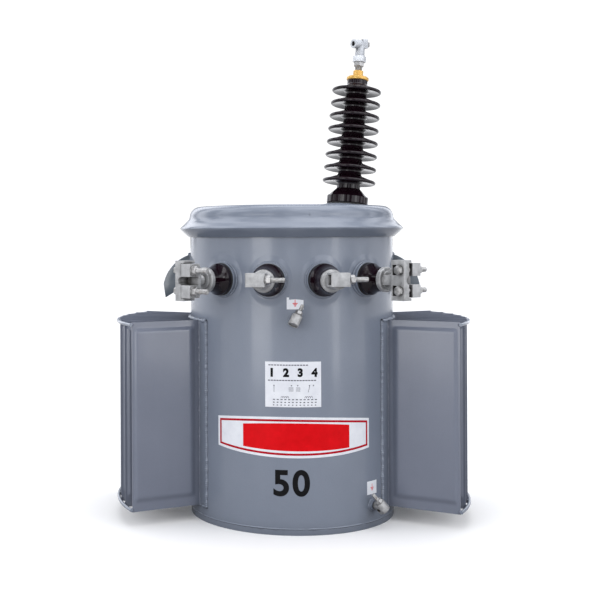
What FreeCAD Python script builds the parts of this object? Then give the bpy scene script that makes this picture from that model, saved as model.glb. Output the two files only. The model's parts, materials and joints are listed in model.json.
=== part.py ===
import FreeCAD, Part
import math
import os

# Single-phase oil-filled distribution transformer. Millimetres. +Z is up, the origin is the
# centre of the tank's underside, and the front faces -Y. An azimuth is measured round the
# tank from the front, positive towards +X (the right-hand side seen from the front).

Vector = FreeCAD.Vector
Placement = FreeCAD.Placement
Rotation = FreeCAD.Rotation

# How far a welded piece starts inside the tank, and how far a cutting tool runs past
ROOT = 10.0
OVERRUN = 5.0

# Tank, lid and clamp band
TANK_R = 260.0
TANK_WALL = 3.0
TANK_INNER_R = TANK_R - TANK_WALL
BOTTOM_THICK = 5.0
SHELL_TOP = 721.0
LIP_R = 270.0
LIP_EDGE = 4.0
LIP_DROP = 12.0
GASKET_THICK = 5.0
LID_BASE = SHELL_TOP + GASKET_THICK
LID_R = 261.0
LID_WALL = 3.0
LID_SHOULDER_R = 26.0
LID_TOP = 780.0
LID_CROWN = 5.0
LID_FLARE_R = 267.0
LID_FLARE_HIGH = 17.0
LID_FLARE_TOP = 31.0
BAND_TIP_R = 286.0
BAND_TIP_Z = 724.0
BAND_LOW_R = 262.0
BAND_LOW = 703.0
BAND_HIGH_R = 268.0
BAND_HIGH = 742.0
BAND_THICK = 3.0
BAND_NOSE = 4.0
BAND_GAP = 16.0
EAR_THICK = 5.0
EAR_HIGH = 30.0
EAR_REACH = 318.0
BAND_BOLT_R = 5.0
BAND_BOLT_PLAY = 0.5
BAND_BOLT_FLATS = 17.0
BAND_BOLT_HEAD = 7.0
BAND_BOLT_NUT = 8.0
BAND_BOLT_SPARE = 28.0

# High-voltage bushing on the lid, leaning outwards
HV_AZIMUTH = 120.0
HV_RADIUS = 178.0
HV_BASE_Z = 788.5
HV_LEAN = 6.9
HV_LEAN_AZIMUTH = 128.0
HV_PAD_LOW_R = 95.0
HV_PAD_HIGH_R = 57.0
HV_PAD_HIGH = 12.0
HV_GASKET_THICK = 4.0
HV_BASE_R = 54.5
HV_BASE_HIGH = 22.0
HV_CONE_LOW_R = 50.0
HV_CONE_HIGH_R = 34.0
HV_CONE_TOP = 38.0
HV_CORE_LOW_R = 31.0
HV_CORE_HIGH_R = 27.0
SHED_COUNT = 8
SHED_FIRST = 60.0
SHED_PITCH = 35.0
SHED_LOW_R = 70.3
SHED_HIGH_R = 65.4
SHED_EDGE = 4.5
SHED_BELOW = 9.0
SHED_ABOVE = 20.0
SHED_ROOT = 8.0
SHED_HOLLOW = 2.4
HV_NECK_TOP = 334.0
HV_CAP_R = 29.5
HV_CAP_THICK = 11.0
HV_COLLAR_R = 13.5
HV_COLLAR_TOP = 361.0
HV_STUD_R = 10.0
HV_STUD_TOP = 373.0
HV_NUT_FLATS = 25.0
HV_NUT_TOP = 385.0
HV_HEX_FLATS = 31.0
HV_HEX_TOP = 401.0
HV_STEM_LOW_R = 13.0
HV_STEM_HIGH_R = 11.5
HV_HEAD_R = 12.0
HV_HEAD_AXIS = 435.0
HV_HEAD_IN = 8.0
HV_HEAD_OUT = 26.0
HV_BLOCK_LONG = 22.0
HV_BLOCK_WIDE = 24.0
HV_BLOCK_CHAMFER = 6.0
HV_SCREW_FLATS = 15.0
HV_SCREW_HIGH = 5.0
HV_BORE_R = 6.5
HV_BORE_DEEP = 24.0
HV_HEAD_AZIMUTH = -55.0
HV_HEAD_FALL = 9.0

# Low-voltage bushings round the front, numbered from the left
LV_AZIMUTHS = (-41.4, -13.7, 14.5, 41.4)
LV_Z = 601.0
LV_COLLAR_R = 41.5
LV_COLLAR_IN = 240.0
LV_COLLAR_OUT = 267.0
LV_HOLE_R = 32.0
LV_NECK_R = 31.0
LV_NECK_IN = 225.0
LV_BASE_R = 38.0
LV_GASKET_THICK = 3.0
LV_SKIRT = 10.0
LV_WAIST_R = 34.0
LV_WAIST = 287.0
LV_TAPER_AT = 303.0
LV_TAPER_R = 29.0
LV_END_R = 27.5
LV_END = 317.0
DISC_OUT = 329.0

# Two-bolt clamps on the outer low-voltage bushings
OUTER_DISC_R = 30.0
OUTER_RING_R = 22.0
OUTER_HUB_R = 15.0
OUTER_DOME_R = 12.5
OUTER_DOME_FOOT = 5.0
OUTER_ARM_SHIFT = 4.0
OUTER_ARM_HALF = 12.0
OUTER_IN = 360.0
OUTER_OUT = 398.0
OUTER_HALF_HIGH = 47.0
OUTER_SPINE = (-24.0, -6.0)
OUTER_LIP = 6.0
OUTER_LIP_LONG = 8.0
OUTER_POCKET_IN = 364.0
OUTER_POCKET_OUT = 375.0
OUTER_POCKET_DEEP = 14.0
OUTER_POCKET = (12.0, 36.0)
OUTER_GROOVE_R = 9.0
OUTER_JAW_THICK = 28.0
OUTER_JAW_HALF_HIGH = 40.0
OUTER_JAW_FALL = 12.0
OUTER_SLOT_HALF = 10.0
OUTER_WEB = 8.0
OUTER_JAW_GAPS = {1: 1.0, 4: 12.0}
OUTER_BOLT_AT = 385.0
OUTER_BOLT_HIGH = 24.0
BOLT_END = 67.0

# One-bolt clamps on the inner low-voltage bushings
INNER_DISC_R = 26.5
INNER_HUB_R = 19.5
INNER_IN = 375.0
INNER_OUT = 398.0
INNER_HALF_HIGH = 15.5
INNER_LIFT = 5.0
INNER_SIDES = (-26.0, 20.0)
INNER_LIP = 4.0
INNER_BACK = 10.0
INNER_TONGUE = (-20.0, -4.0)
INNER_ROUND = 5.0
INNER_BOLT_AT = 386.0
INNER_BOLT_END = 64.0

# Bolts through the clamps
BOLT_R = 6.0
BOLT_HOLE_R = 6.5
NUT_FLATS = 19.0
NUT_THICK = 10.0
WASHER_R = 12.0
WASHER_THICK = 2.0
CARRIAGE_HEAD_R = 9.0
CARRIAGE_HEAD_HIGH = 3.0

# Radiators: radial pressed fins on a curved base strip, one bank on each side
FIN_COUNT = 8
FIN_SPACING = 7.8
FIN_LOW = 38.0
FIN_HIGH = 497.0
FIN_OUT = 442.0
FIN_EDGE = 3.0
FIN_SWELL = 4.5
FIN_INNER_BORDER = 6.0
FIN_OUTER_BORDER = 3.0
FIN_TOP_BORDER = 12.0
FIN_BOTTOM_BORDER = 20.0
FIN_INNER_BEVEL = 23.0
FIN_OUTER_BEVEL = 10.0
FIN_TOP_BEVEL = 18.0
FIN_BOTTOM_BEVEL = 23.0
STRIP_THICK = 3.0
STRIP_HALF_ANGLE = 34.7
TIE_R = 4.0
TIE_INSET = 6.0
TIE_SPARE_ANGLE = 0.6

# Lifting lugs at the sides
LUG_THICK = 10.0
LUG_TOP = 660.0
LUG_SHOULDER_R = 308.0
LUG_SHOULDER_Z = 627.0
LUG_OUT_R = 330.0
LUG_OUT_Z = 581.0
LUG_TIP_R = 325.0
LUG_TIP_Z = 546.0
LUG_ROOT_Z = 592.0

# Earthing connectors on the tank: azimuth, height and the stud's lean
EARTHS = {"upper": (-0.5, 508.0, 27.0), "lower": (45.8, 55.0, -36.0)}
EARTH_TILT = 22.0
EARTH_PAD_R = 13.0
EARTH_PAD_OUT = 268.0
EARTH_BOSS_R = 9.0
EARTH_BODY_AT = 288.0
EARTH_BODY_R = 14.5
EARTH_BODY_HALF = 13.0
EARTH_FLAT_HALF = 12.0
EARTH_RIM = 2.0
EARTH_MOUTH_R = 10.0
EARTH_MOUTH_DEEP = 2.5
EARTH_HOLE_R = 5.0
EARTH_HOLE_SHIFT = -2.5
EARTH_STUD_R = 4.0
EARTH_STUD_SHIFT = 7.0
EARTH_STUD_LOW = -10.0
EARTH_STUD_HIGH = 40.0
EARTH_NUT_FLATS = 14.0
EARTH_NUT_THICK = 8.0

# Hanger brackets at the back, for the pole
HANGER_LEVELS = {"upper": 600.0, "lower": 120.0}
HANGER_HALF_WIDE = 60.0
HANGER_HALF_HIGH = 45.0
HANGER_FACE = 325.0
HANGER_THICK = 10.0
HANGER_HOLE_R = 10.0


def at_azimuth(azimuth, height=0.0):
    """Placement that turns a piece's +X outwards at an azimuth, +Y round the tank."""
    return Placement(Vector(0, 0, height), Rotation(Vector(0, 0, 1), azimuth - 90.0))


def placed(shape, placement):
    """Copy of a shape, moved by a placement."""
    copy = shape.copy()
    copy.Placement = placement.multiply(copy.Placement)
    return copy


def line(*points):
    """Straight edges through (r, z) points."""
    pairs = zip(points, points[1:])
    return [Part.LineSegment(Vector(a[0], 0, a[1]), Vector(b[0], 0, b[1])).toShape()
            for a, b in pairs]


def arc(start, middle, end):
    """One arc edge through three (r, z) points."""
    points = [Vector(r, 0, z) for r, z in (start, middle, end)]
    return [Part.Arc(*points).toShape()]


def turned(edges):
    """Solid of revolution about Z from a closed outline of (r, z) edges."""
    outline = Part.Wire(Part.__sortEdges__(edges))
    solid = Part.Face(outline).revolve(Vector(0, 0, 0), Vector(0, 0, 1), 360)
    return Part.Solid(solid) if solid.ShapeType != "Solid" else solid


def turned_outline(*points):
    """Solid of revolution about Z from the corners of its (r, z) outline."""
    return turned(line(*points, points[0]))


def outward(shape):
    """Turn a piece made along +Z so that it points along +X."""
    return placed(shape, Placement(Vector(0, 0, 0), Rotation(Vector(0, 1, 0), 90)))


def sideways(shape):
    """Turn a piece made along +Z so that it points along +Y."""
    return placed(shape, Placement(Vector(0, 0, 0), Rotation(Vector(1, 0, 0), -90)))


def box(low, high):
    """Block between two corners."""
    size = Vector(*high).sub(Vector(*low))
    return Part.makeBox(size.x, size.y, size.z, Vector(*low))


def hexagon(flats, thick, base=0.0):
    """Hexagonal prism along +Z, given across its flats."""
    radius = flats / math.sqrt(3)
    corners = [Vector(radius * math.cos(math.radians(60 * i)),
                      radius * math.sin(math.radians(60 * i)), base) for i in range(7)]
    return Part.Face(Part.makePolygon(corners)).extrude(Vector(0, 0, thick))


# ---- Tank, lid and clamp band ----

def tank_shell():
    shell = turned_outline((TANK_INNER_R, 0), (TANK_R, 0),
                           (TANK_R, SHELL_TOP), (TANK_INNER_R, SHELL_TOP))
    for azimuth in LV_AZIMUTHS:
        drill = Part.makeCylinder(LV_HOLE_R, TANK_R, Vector(0, 0, TANK_R / 2))
        shell = shell.cut(placed(outward(drill), at_azimuth(azimuth, LV_Z)))
    return shell


def tank_bottom():
    return Part.makeCylinder(TANK_INNER_R, BOTTOM_THICK)


def tank_lip():
    return turned_outline((TANK_R, SHELL_TOP - LIP_DROP), (LIP_R, SHELL_TOP - LIP_EDGE),
                          (LIP_R, SHELL_TOP), (TANK_R, SHELL_TOP))


def lid_gasket():
    return turned_outline((TANK_INNER_R, SHELL_TOP), (LIP_R, SHELL_TOP),
                          (LIP_R, LID_BASE), (TANK_INNER_R, LID_BASE))


def lid_outline(radius, top, shoulder, floor):
    """Outer line of the lid, from its wall's foot to the crown on the axis."""
    bend = radius - shoulder
    middle = shoulder * math.sqrt(0.5)
    wall = line((radius, floor), (radius, top - shoulder))
    corner = arc((radius, top - shoulder),
                 (bend + middle, top - shoulder + middle), (bend, top))
    dome_r = (bend ** 2 + LID_CROWN ** 2) / (2 * LID_CROWN)
    halfway = top + LID_CROWN - dome_r + math.sqrt(dome_r ** 2 - (bend / 2) ** 2)
    crown = arc((bend, top), (bend / 2, halfway), (0, top + LID_CROWN))
    return wall + corner + crown


def lid_body():
    """The lid filled solid, down to its foot."""
    edges = lid_outline(LID_R, LID_TOP, LID_SHOULDER_R, LID_BASE)
    edges += line((0, LID_TOP + LID_CROWN), (0, LID_BASE), (LID_R, LID_BASE))
    return turned(edges)


def lid():
    inner = lid_outline(LID_R - LID_WALL, LID_TOP - LID_WALL,
                        LID_SHOULDER_R - LID_WALL, LID_BASE)
    inner += line((0, LID_TOP + LID_CROWN - LID_WALL), (0, LID_BASE),
                  (LID_R - LID_WALL, LID_BASE))
    flare_low = (LID_FLARE_R, LID_BASE + LID_FLARE_HIGH)
    flare_high = (LID_R, LID_BASE + LID_FLARE_TOP)
    flare_middle = (LID_R + 0.25 * (LID_FLARE_R - LID_R),
                    LID_BASE + 0.5 * (LID_FLARE_HIGH + LID_FLARE_TOP))
    foot = turned(line(flare_high, (LID_R - LID_WALL, LID_BASE + LID_FLARE_TOP),
                       (LID_R - LID_WALL, LID_BASE), (LIP_R, LID_BASE),
                       (LIP_R, LID_BASE + LIP_EDGE), flare_low)
                  + arc(flare_low, flare_middle, flare_high))
    return lid_body().cut(turned(inner)).fuse(foot).removeSplitter()


def band_section():
    """Closed outline of the V-shaped clamp band."""
    inner_tip = BAND_TIP_R - 2 * BAND_THICK
    cut = BAND_THICK + 1
    outer_low = (BAND_TIP_R - BAND_NOSE, BAND_TIP_Z - BAND_NOSE)
    outer_high = (BAND_TIP_R - BAND_NOSE, BAND_TIP_Z + BAND_NOSE)
    edges = line((BAND_LOW_R, BAND_LOW), outer_low)
    edges += arc(outer_low, (BAND_TIP_R, BAND_TIP_Z), outer_high)
    edges += line(outer_high, (BAND_HIGH_R, BAND_HIGH), (BAND_HIGH_R, BAND_HIGH - cut),
                  (inner_tip, BAND_TIP_Z), (BAND_LOW_R, BAND_LOW + cut),
                  (BAND_LOW_R, BAND_LOW))
    return edges


def clamp_band():
    """V band round the tank's and the lid's lips, split at the back between two ears."""
    band = turned(band_section())
    half_gap = BAND_GAP / 2
    band = band.cut(box((-half_gap, TANK_R - OVERRUN, BAND_LOW - OVERRUN),
                        (half_gap, BAND_TIP_R + OVERRUN, BAND_HIGH + OVERRUN)))
    for side in (-1, 1):
        low, high = sorted((side * half_gap, side * (half_gap + EAR_THICK)))
        ear = box((low, BAND_TIP_R - BAND_NOSE - 1, BAND_TIP_Z - EAR_HIGH / 2),
                  (high, EAR_REACH, BAND_TIP_Z + EAR_HIGH / 2))
        band = band.fuse(ear)
    hole = Part.makeCylinder(BAND_BOLT_R + BAND_BOLT_PLAY, 4 * BAND_GAP,
                             Vector(0, 0, -2 * BAND_GAP))
    return band.cut(placed(hole, band_bolt_placement())).removeSplitter()


def band_bolt_placement():
    """Middle of the band's bolt, with +Z along +X."""
    return Placement(Vector(0, (BAND_TIP_R + EAR_REACH) / 2, BAND_TIP_Z),
                     Rotation(Vector(0, 1, 0), 90))


def clamp_band_bolt():
    """Bolt, head and nut that pull the band's ears together."""
    reach = BAND_GAP / 2 + EAR_THICK
    head = hexagon(BAND_BOLT_FLATS, BAND_BOLT_HEAD, -reach - BAND_BOLT_HEAD)
    shank = Part.makeCylinder(BAND_BOLT_R, 2 * reach + BAND_BOLT_SPARE, Vector(0, 0, -reach))
    nut = hexagon(BAND_BOLT_FLATS, BAND_BOLT_NUT, reach)
    bolt = head.fuse(shank).fuse(nut).removeSplitter()
    return placed(bolt, band_bolt_placement())


# ---- High-voltage bushing ----

def hv_placement():
    """Foot of the bushing on the lid's pad, with +Z along the bushing's leaning axis."""
    around = math.radians(HV_AZIMUTH - 90.0)
    foot = Vector(HV_RADIUS * math.cos(around), HV_RADIUS * math.sin(around), HV_BASE_Z)
    lean = math.radians(HV_LEAN_AZIMUTH - 90.0)
    hinge = Vector(-math.sin(lean), math.cos(lean), 0)
    return Placement(foot, Rotation(hinge, HV_LEAN))


def hv_pad():
    """Welded conical pad, trimmed to the lid's surface."""
    flare = Part.makeCone(HV_PAD_LOW_R, HV_PAD_HIGH_R, HV_PAD_HIGH,
                          Vector(0, 0, -HV_GASKET_THICK - HV_PAD_HIGH))
    flat = Part.makeCylinder(LID_R - LID_SHOULDER_R, 2 * LID_TOP)
    return placed(flare, hv_placement()).common(flat).cut(lid_body())


def hv_gasket():
    ring = Part.makeCylinder(HV_BASE_R - 1, HV_GASKET_THICK, Vector(0, 0, -HV_GASKET_THICK))
    return placed(ring, hv_placement())


def shed_edges(tip_z, tip_r, core_r):
    """Right-hand outline of one shed, from the core below it to the core above it."""
    below = (core_r, tip_z - SHED_BELOW)
    under_root = (core_r + SHED_ROOT, tip_z - 1)
    under_tip = (tip_r - SHED_EDGE, tip_z - SHED_EDGE)
    over_tip = (tip_r - SHED_EDGE, tip_z + SHED_EDGE)
    over_root = (core_r + SHED_ROOT - 1, tip_z + 0.7 * SHED_ABOVE)
    above = (core_r, tip_z + SHED_ABOVE)
    neck_r = core_r + SHED_HOLLOW
    edges = arc(below, (neck_r, tip_z - 0.37 * SHED_BELOW), under_root)
    edges += line(under_root, under_tip)
    edges += arc(under_tip, (tip_r, tip_z), over_tip)
    edges += line(over_tip, over_root)
    edges += arc(over_root, (neck_r, tip_z + 0.81 * SHED_ABOVE), above)
    return edges


def hv_porcelain():
    """Glazed body: round foot, cone, then a stack of sheds on a slightly tapered core."""
    foot = [(0, 0), (HV_BASE_R - 2, 0), (HV_BASE_R, 2), (HV_BASE_R, HV_BASE_HIGH - 3),
            (HV_BASE_R - 3, HV_BASE_HIGH), (HV_CONE_LOW_R, HV_BASE_HIGH),
            (HV_CONE_HIGH_R, HV_CONE_TOP), (HV_CORE_LOW_R, HV_CONE_TOP + 3)]
    edges = []
    last = foot[-1]
    for i in range(SHED_COUNT):
        share = i / (SHED_COUNT - 1)
        tip_r = SHED_LOW_R + share * (SHED_HIGH_R - SHED_LOW_R)
        core_r = HV_CORE_LOW_R + share * (HV_CORE_HIGH_R - HV_CORE_LOW_R)
        tip_z = SHED_FIRST + i * SHED_PITCH
        start = (core_r, tip_z - SHED_BELOW)
        edges += line(last, start) + shed_edges(tip_z, tip_r, core_r)
        last = (core_r, tip_z + SHED_ABOVE)
    edges += line(last, (HV_CORE_HIGH_R, HV_NECK_TOP), (0, HV_NECK_TOP), (0, 0))
    return placed(turned(line(*foot) + edges), hv_placement())


def hv_cap():
    """Flanged cap on the porcelain's neck."""
    flange_top = HV_NECK_TOP + HV_CAP_THICK
    cap = turned_outline((0, HV_NECK_TOP), (HV_CAP_R - 2, HV_NECK_TOP),
                         (HV_CAP_R, HV_NECK_TOP + 2), (HV_CAP_R, flange_top - 3),
                         (HV_CAP_R - 4, flange_top), (HV_COLLAR_R, flange_top + 2),
                         (HV_COLLAR_R, HV_COLLAR_TOP), (0, HV_COLLAR_TOP))
    return placed(cap, hv_placement())


def hv_stud():
    """Terminal stud with its lock nut."""
    stud = Part.makeCylinder(HV_STUD_R, HV_STUD_TOP - HV_COLLAR_TOP, Vector(0, 0, HV_COLLAR_TOP))
    nut = hexagon(HV_NUT_FLATS, HV_NUT_TOP - HV_STUD_TOP, HV_STUD_TOP)
    return placed(stud.fuse(nut), hv_placement())


def hv_head_placement():
    """Middle of the terminal's head, with +Z along the barrel towards its mouth."""
    turn = Rotation(Vector(0, 0, 1), HV_HEAD_AZIMUTH - 90.0)
    level = Rotation(Vector(0, 1, 0), 90 + HV_HEAD_FALL)
    return Placement(Vector(0, 0, HV_HEAD_AXIS), turn.multiply(level))


def hv_terminal():
    """Screwed-on connector: hexagon, tapering stem and a head with a cable bore."""
    body = hexagon(HV_HEX_FLATS, HV_HEX_TOP - HV_NUT_TOP, HV_NUT_TOP)
    stem = Part.makeCone(HV_STEM_LOW_R, HV_STEM_HIGH_R, HV_HEAD_AXIS - HV_HEX_TOP,
                         Vector(0, 0, HV_HEX_TOP))
    barrel = Part.makeCylinder(HV_HEAD_R, HV_HEAD_OUT + HV_HEAD_IN, Vector(0, 0, -HV_HEAD_IN))
    half = HV_BLOCK_WIDE / 2
    block = box((-half, -half, -HV_BLOCK_LONG), (half, half, 0))
    block = block.makeChamfer(HV_BLOCK_CHAMFER, [edge for edge in block.Edges
                                                 if edge.BoundBox.ZMax < 1 - HV_BLOCK_LONG])
    bore = Part.makeCylinder(HV_BORE_R, HV_BORE_DEEP, Vector(0, 0, HV_HEAD_OUT - HV_BORE_DEEP))
    head = barrel.fuse(block).cut(bore)
    body = body.fuse(stem).fuse(placed(head, hv_head_placement())).removeSplitter()
    body = body.cut(placed(bore, hv_head_placement()))
    return placed(body, hv_placement())


def hv_terminal_screw():
    """Hexagonal clamp screw in the head's far end."""
    head = hexagon(HV_SCREW_FLATS, HV_SCREW_HIGH, -HV_BLOCK_LONG - HV_SCREW_HIGH)
    return placed(placed(head, hv_head_placement()), hv_placement())


# ---- Low-voltage bushings and their clamps ----

def lv_collar(azimuth):
    """Welded ring that seats the bushing on the round tank."""
    ring = turned_outline((LV_HOLE_R, LV_COLLAR_IN), (LV_COLLAR_R, LV_COLLAR_IN),
                          (LV_COLLAR_R, LV_COLLAR_OUT - 1),
                          (LV_COLLAR_R - 1, LV_COLLAR_OUT), (LV_HOLE_R, LV_COLLAR_OUT))
    tank = Part.makeCylinder(TANK_R, 2 * LV_Z, Vector(0, 0, -LV_Z))
    return placed(outward(ring).cut(tank), at_azimuth(azimuth, LV_Z))


def lv_porcelain(azimuth):
    """Glazed body: neck through the wall, skirt against the gasket, taper to the cap."""
    seat = LV_COLLAR_OUT + LV_GASKET_THICK
    skirt = (LV_BASE_R, seat + LV_SKIRT)
    taper = (LV_TAPER_R, LV_TAPER_AT)
    edges = line((LV_BASE_R, seat + 2), skirt)
    edges += arc(skirt, (LV_WAIST_R, LV_WAIST), taper)
    edges += line(taper, (LV_END_R, LV_END), (0, LV_END), (0, LV_NECK_IN),
                  (LV_NECK_R, LV_NECK_IN), (LV_NECK_R, seat), (LV_BASE_R - 2, seat),
                  (LV_BASE_R, seat + 2))
    return placed(outward(turned(edges)), at_azimuth(azimuth, LV_Z))


def lv_gaskets():
    """The four rubber rings under the low-voltage bushings."""
    ring = turned_outline((LV_HOLE_R, LV_COLLAR_OUT), (LV_BASE_R + 1, LV_COLLAR_OUT),
                          (LV_BASE_R + 1, LV_COLLAR_OUT + LV_GASKET_THICK),
                          (LV_HOLE_R, LV_COLLAR_OUT + LV_GASKET_THICK))
    rings = [placed(outward(ring), at_azimuth(azimuth, LV_Z)) for azimuth in LV_AZIMUTHS]
    return Part.makeCompound(rings)


def cross_hole(radius, along, height):
    """Hole along +Y at a distance out and a height."""
    hole = sideways(Part.makeCylinder(radius, 400, Vector(0, 0, -200)))
    return placed(hole, Placement(Vector(along, 0, height), Rotation()))


def outer_casting():
    """Disc, domed hub, arm and tall lipped spine of a two-bolt clamp."""
    foot = DISC_OUT + OUTER_DOME_FOOT
    slant = OUTER_DOME_R * math.sqrt(0.5)
    disc = turned(line((0, foot + OUTER_DOME_R), (0, LV_END), (OUTER_DISC_R - 1, LV_END),
                       (OUTER_DISC_R, LV_END + 1), (OUTER_DISC_R, DISC_OUT - 2),
                       (OUTER_DISC_R - 2, DISC_OUT), (OUTER_RING_R, DISC_OUT),
                       (OUTER_RING_R - 1, foot - 1), (OUTER_HUB_R, foot),
                       (OUTER_DOME_R, foot))
                  + arc((OUTER_DOME_R, foot), (slant, foot + slant), (0, foot + OUTER_DOME_R)))
    left, right = OUTER_SPINE
    spine = box((OUTER_IN, left, -OUTER_HALF_HIGH), (OUTER_OUT, right, OUTER_HALF_HIGH))
    arm = box((DISC_OUT, left + OUTER_ARM_SHIFT, -OUTER_ARM_HALF),
              (OUTER_IN + OVERRUN, right + OUTER_ARM_SHIFT, OUTER_ARM_HALF))
    body = outward(disc).fuse(arm).fuse(spine)
    for side in (-1, 1):
        low, high = sorted((side * (OUTER_HALF_HIGH - OUTER_LIP), side * OUTER_HALF_HIGH))
        body = body.fuse(box((OUTER_IN, right - 1, low), (OUTER_OUT, right + OUTER_LIP_LONG, high)))
        near, far = sorted((side * OUTER_POCKET[0], side * OUTER_POCKET[1]))
        pocket = box((OUTER_POCKET_IN, left - OVERRUN, near),
                     (OUTER_POCKET_OUT, left + OUTER_POCKET_DEEP, far))
        body = body.cut(pocket)
        body = body.cut(cross_hole(BOLT_HOLE_R, OUTER_BOLT_AT, side * OUTER_BOLT_HIGH))
    groove = Part.makeCylinder(OUTER_GROOVE_R, OUTER_OUT, Vector(0, 0, OUTER_IN + OUTER_WEB))
    groove = outward(groove)
    groove.translate(Vector(0, right, 0))
    return body.cut(groove).removeSplitter()


def outer_jaw(gap):
    """U-shaped clamp jaw, open towards its outer end, with shoulders that fall inwards."""
    start = OUTER_SPINE[1] + gap
    finish = start + OUTER_JAW_THICK
    high = OUTER_JAW_HALF_HIGH
    low = high - OUTER_JAW_FALL
    shoulder = OUTER_IN + OUTER_JAW_FALL / 2
    corners = [(OUTER_IN, -low), (shoulder, -high), (OUTER_OUT, -high), (OUTER_OUT, high),
               (shoulder, high), (OUTER_IN, low), (OUTER_IN, -low)]
    outline = Part.makePolygon([Vector(x, start, z) for x, z in corners])
    jaw = Part.Face(outline).extrude(Vector(0, OUTER_JAW_THICK, 0))
    slot = box((OUTER_IN + OUTER_WEB, start - 1, -OUTER_SLOT_HALF),
               (OUTER_OUT + 1, finish + 1, OUTER_SLOT_HALF))
    jaw = jaw.cut(slot)
    for side in (-1, 1):
        jaw = jaw.cut(cross_hole(BOLT_HOLE_R, OUTER_BOLT_AT, side * OUTER_BOLT_HIGH))
    return jaw


def inner_casting():
    """Disc, hub and C-shaped body of a one-bolt clamp."""
    disc = turned_outline((0, LV_END), (INNER_DISC_R - 1, LV_END), (INNER_DISC_R, LV_END + 1),
                          (INNER_DISC_R, DISC_OUT - 3), (INNER_DISC_R - 3, DISC_OUT),
                          (INNER_HUB_R, DISC_OUT + 2), (INNER_HUB_R - 2, INNER_IN),
                          (0, INNER_IN))
    left, right = INNER_SIDES
    block = box((INNER_IN - INNER_BACK, left, -INNER_HALF_HIGH),
                (INNER_OUT, right, INNER_HALF_HIGH))
    rounded = [edge for edge in block.Edges
               if edge.BoundBox.XMin > INNER_OUT - 1 and edge.BoundBox.ZLength > 1]
    block = block.makeFillet(INNER_ROUND, rounded)
    mouth = box((INNER_IN - 2, left - OVERRUN, -INNER_HALF_HIGH + INNER_LIP),
                (INNER_OUT - INNER_LIP, INNER_TONGUE[1] + 2, INNER_HALF_HIGH - INNER_LIP))
    block = block.cut(mouth)
    block.translate(Vector(0, 0, INNER_LIFT))
    body = outward(disc).fuse(block)
    return body.cut(cross_hole(BOLT_HOLE_R, INNER_BOLT_AT, INNER_LIFT)).removeSplitter()


def inner_jaw():
    """Loose block inside the C-shaped body, drawn up by the bolt."""
    half = INNER_HALF_HIGH - INNER_LIP - 1
    jaw = box((INNER_IN - 1, INNER_TONGUE[0], INNER_LIFT - half),
              (INNER_OUT - INNER_LIP - 1, INNER_TONGUE[1], INNER_LIFT + half))
    return jaw.cut(cross_hole(BOLT_HOLE_R, INNER_BOLT_AT, INNER_LIFT))


def clamp_bolt(head_at, nut_at, end, along, height):
    """Bolt along +Y with its head, washer and nut."""
    head = hexagon(NUT_FLATS, NUT_THICK, head_at - NUT_THICK)
    shank = Part.makeCylinder(BOLT_R, end - head_at + 2, Vector(0, 0, head_at - 2))
    washer = Part.makeCylinder(WASHER_R, WASHER_THICK, Vector(0, 0, nut_at))
    nut = hexagon(NUT_FLATS, NUT_THICK, nut_at + WASHER_THICK)
    bolt = head.fuse(shank).fuse(washer).fuse(nut).removeSplitter()
    return placed(sideways(bolt), Placement(Vector(along, 0, height), Rotation()))


def outer_clamp(azimuth, gap):
    pieces = Part.makeCompound([outer_casting(), outer_jaw(gap)])
    return placed(pieces, at_azimuth(azimuth, LV_Z))


def outer_bolts(azimuth, gap):
    nut_at = OUTER_SPINE[1] + gap + OUTER_JAW_THICK
    bolts = [clamp_bolt(OUTER_SPINE[0], nut_at, BOLT_END, OUTER_BOLT_AT, side * OUTER_BOLT_HIGH)
             for side in (-1, 1)]
    return placed(Part.makeCompound(bolts), at_azimuth(azimuth, LV_Z))


def inner_clamp(azimuth):
    pieces = Part.makeCompound([inner_casting(), inner_jaw()])
    return placed(pieces, at_azimuth(azimuth, LV_Z))


def inner_bolt(azimuth):
    """Carriage bolt: its flat head is hidden against the loose block."""
    shank = Part.makeCylinder(BOLT_R, INNER_BOLT_END - INNER_TONGUE[0],
                              Vector(0, 0, INNER_TONGUE[0]))
    head = Part.makeCylinder(CARRIAGE_HEAD_R, CARRIAGE_HEAD_HIGH,
                             Vector(0, 0, INNER_TONGUE[0] - CARRIAGE_HEAD_HIGH))
    washer = Part.makeCylinder(WASHER_R, WASHER_THICK, Vector(0, 0, INNER_SIDES[1]))
    nut = hexagon(NUT_FLATS, NUT_THICK, INNER_SIDES[1] + WASHER_THICK)
    bolt = sideways(head.fuse(shank).fuse(washer).fuse(nut).removeSplitter())
    bolt.translate(Vector(INNER_BOLT_AT, 0, INNER_LIFT))
    return placed(bolt, at_azimuth(azimuth, LV_Z))


# ---- Radiators ----

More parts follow.
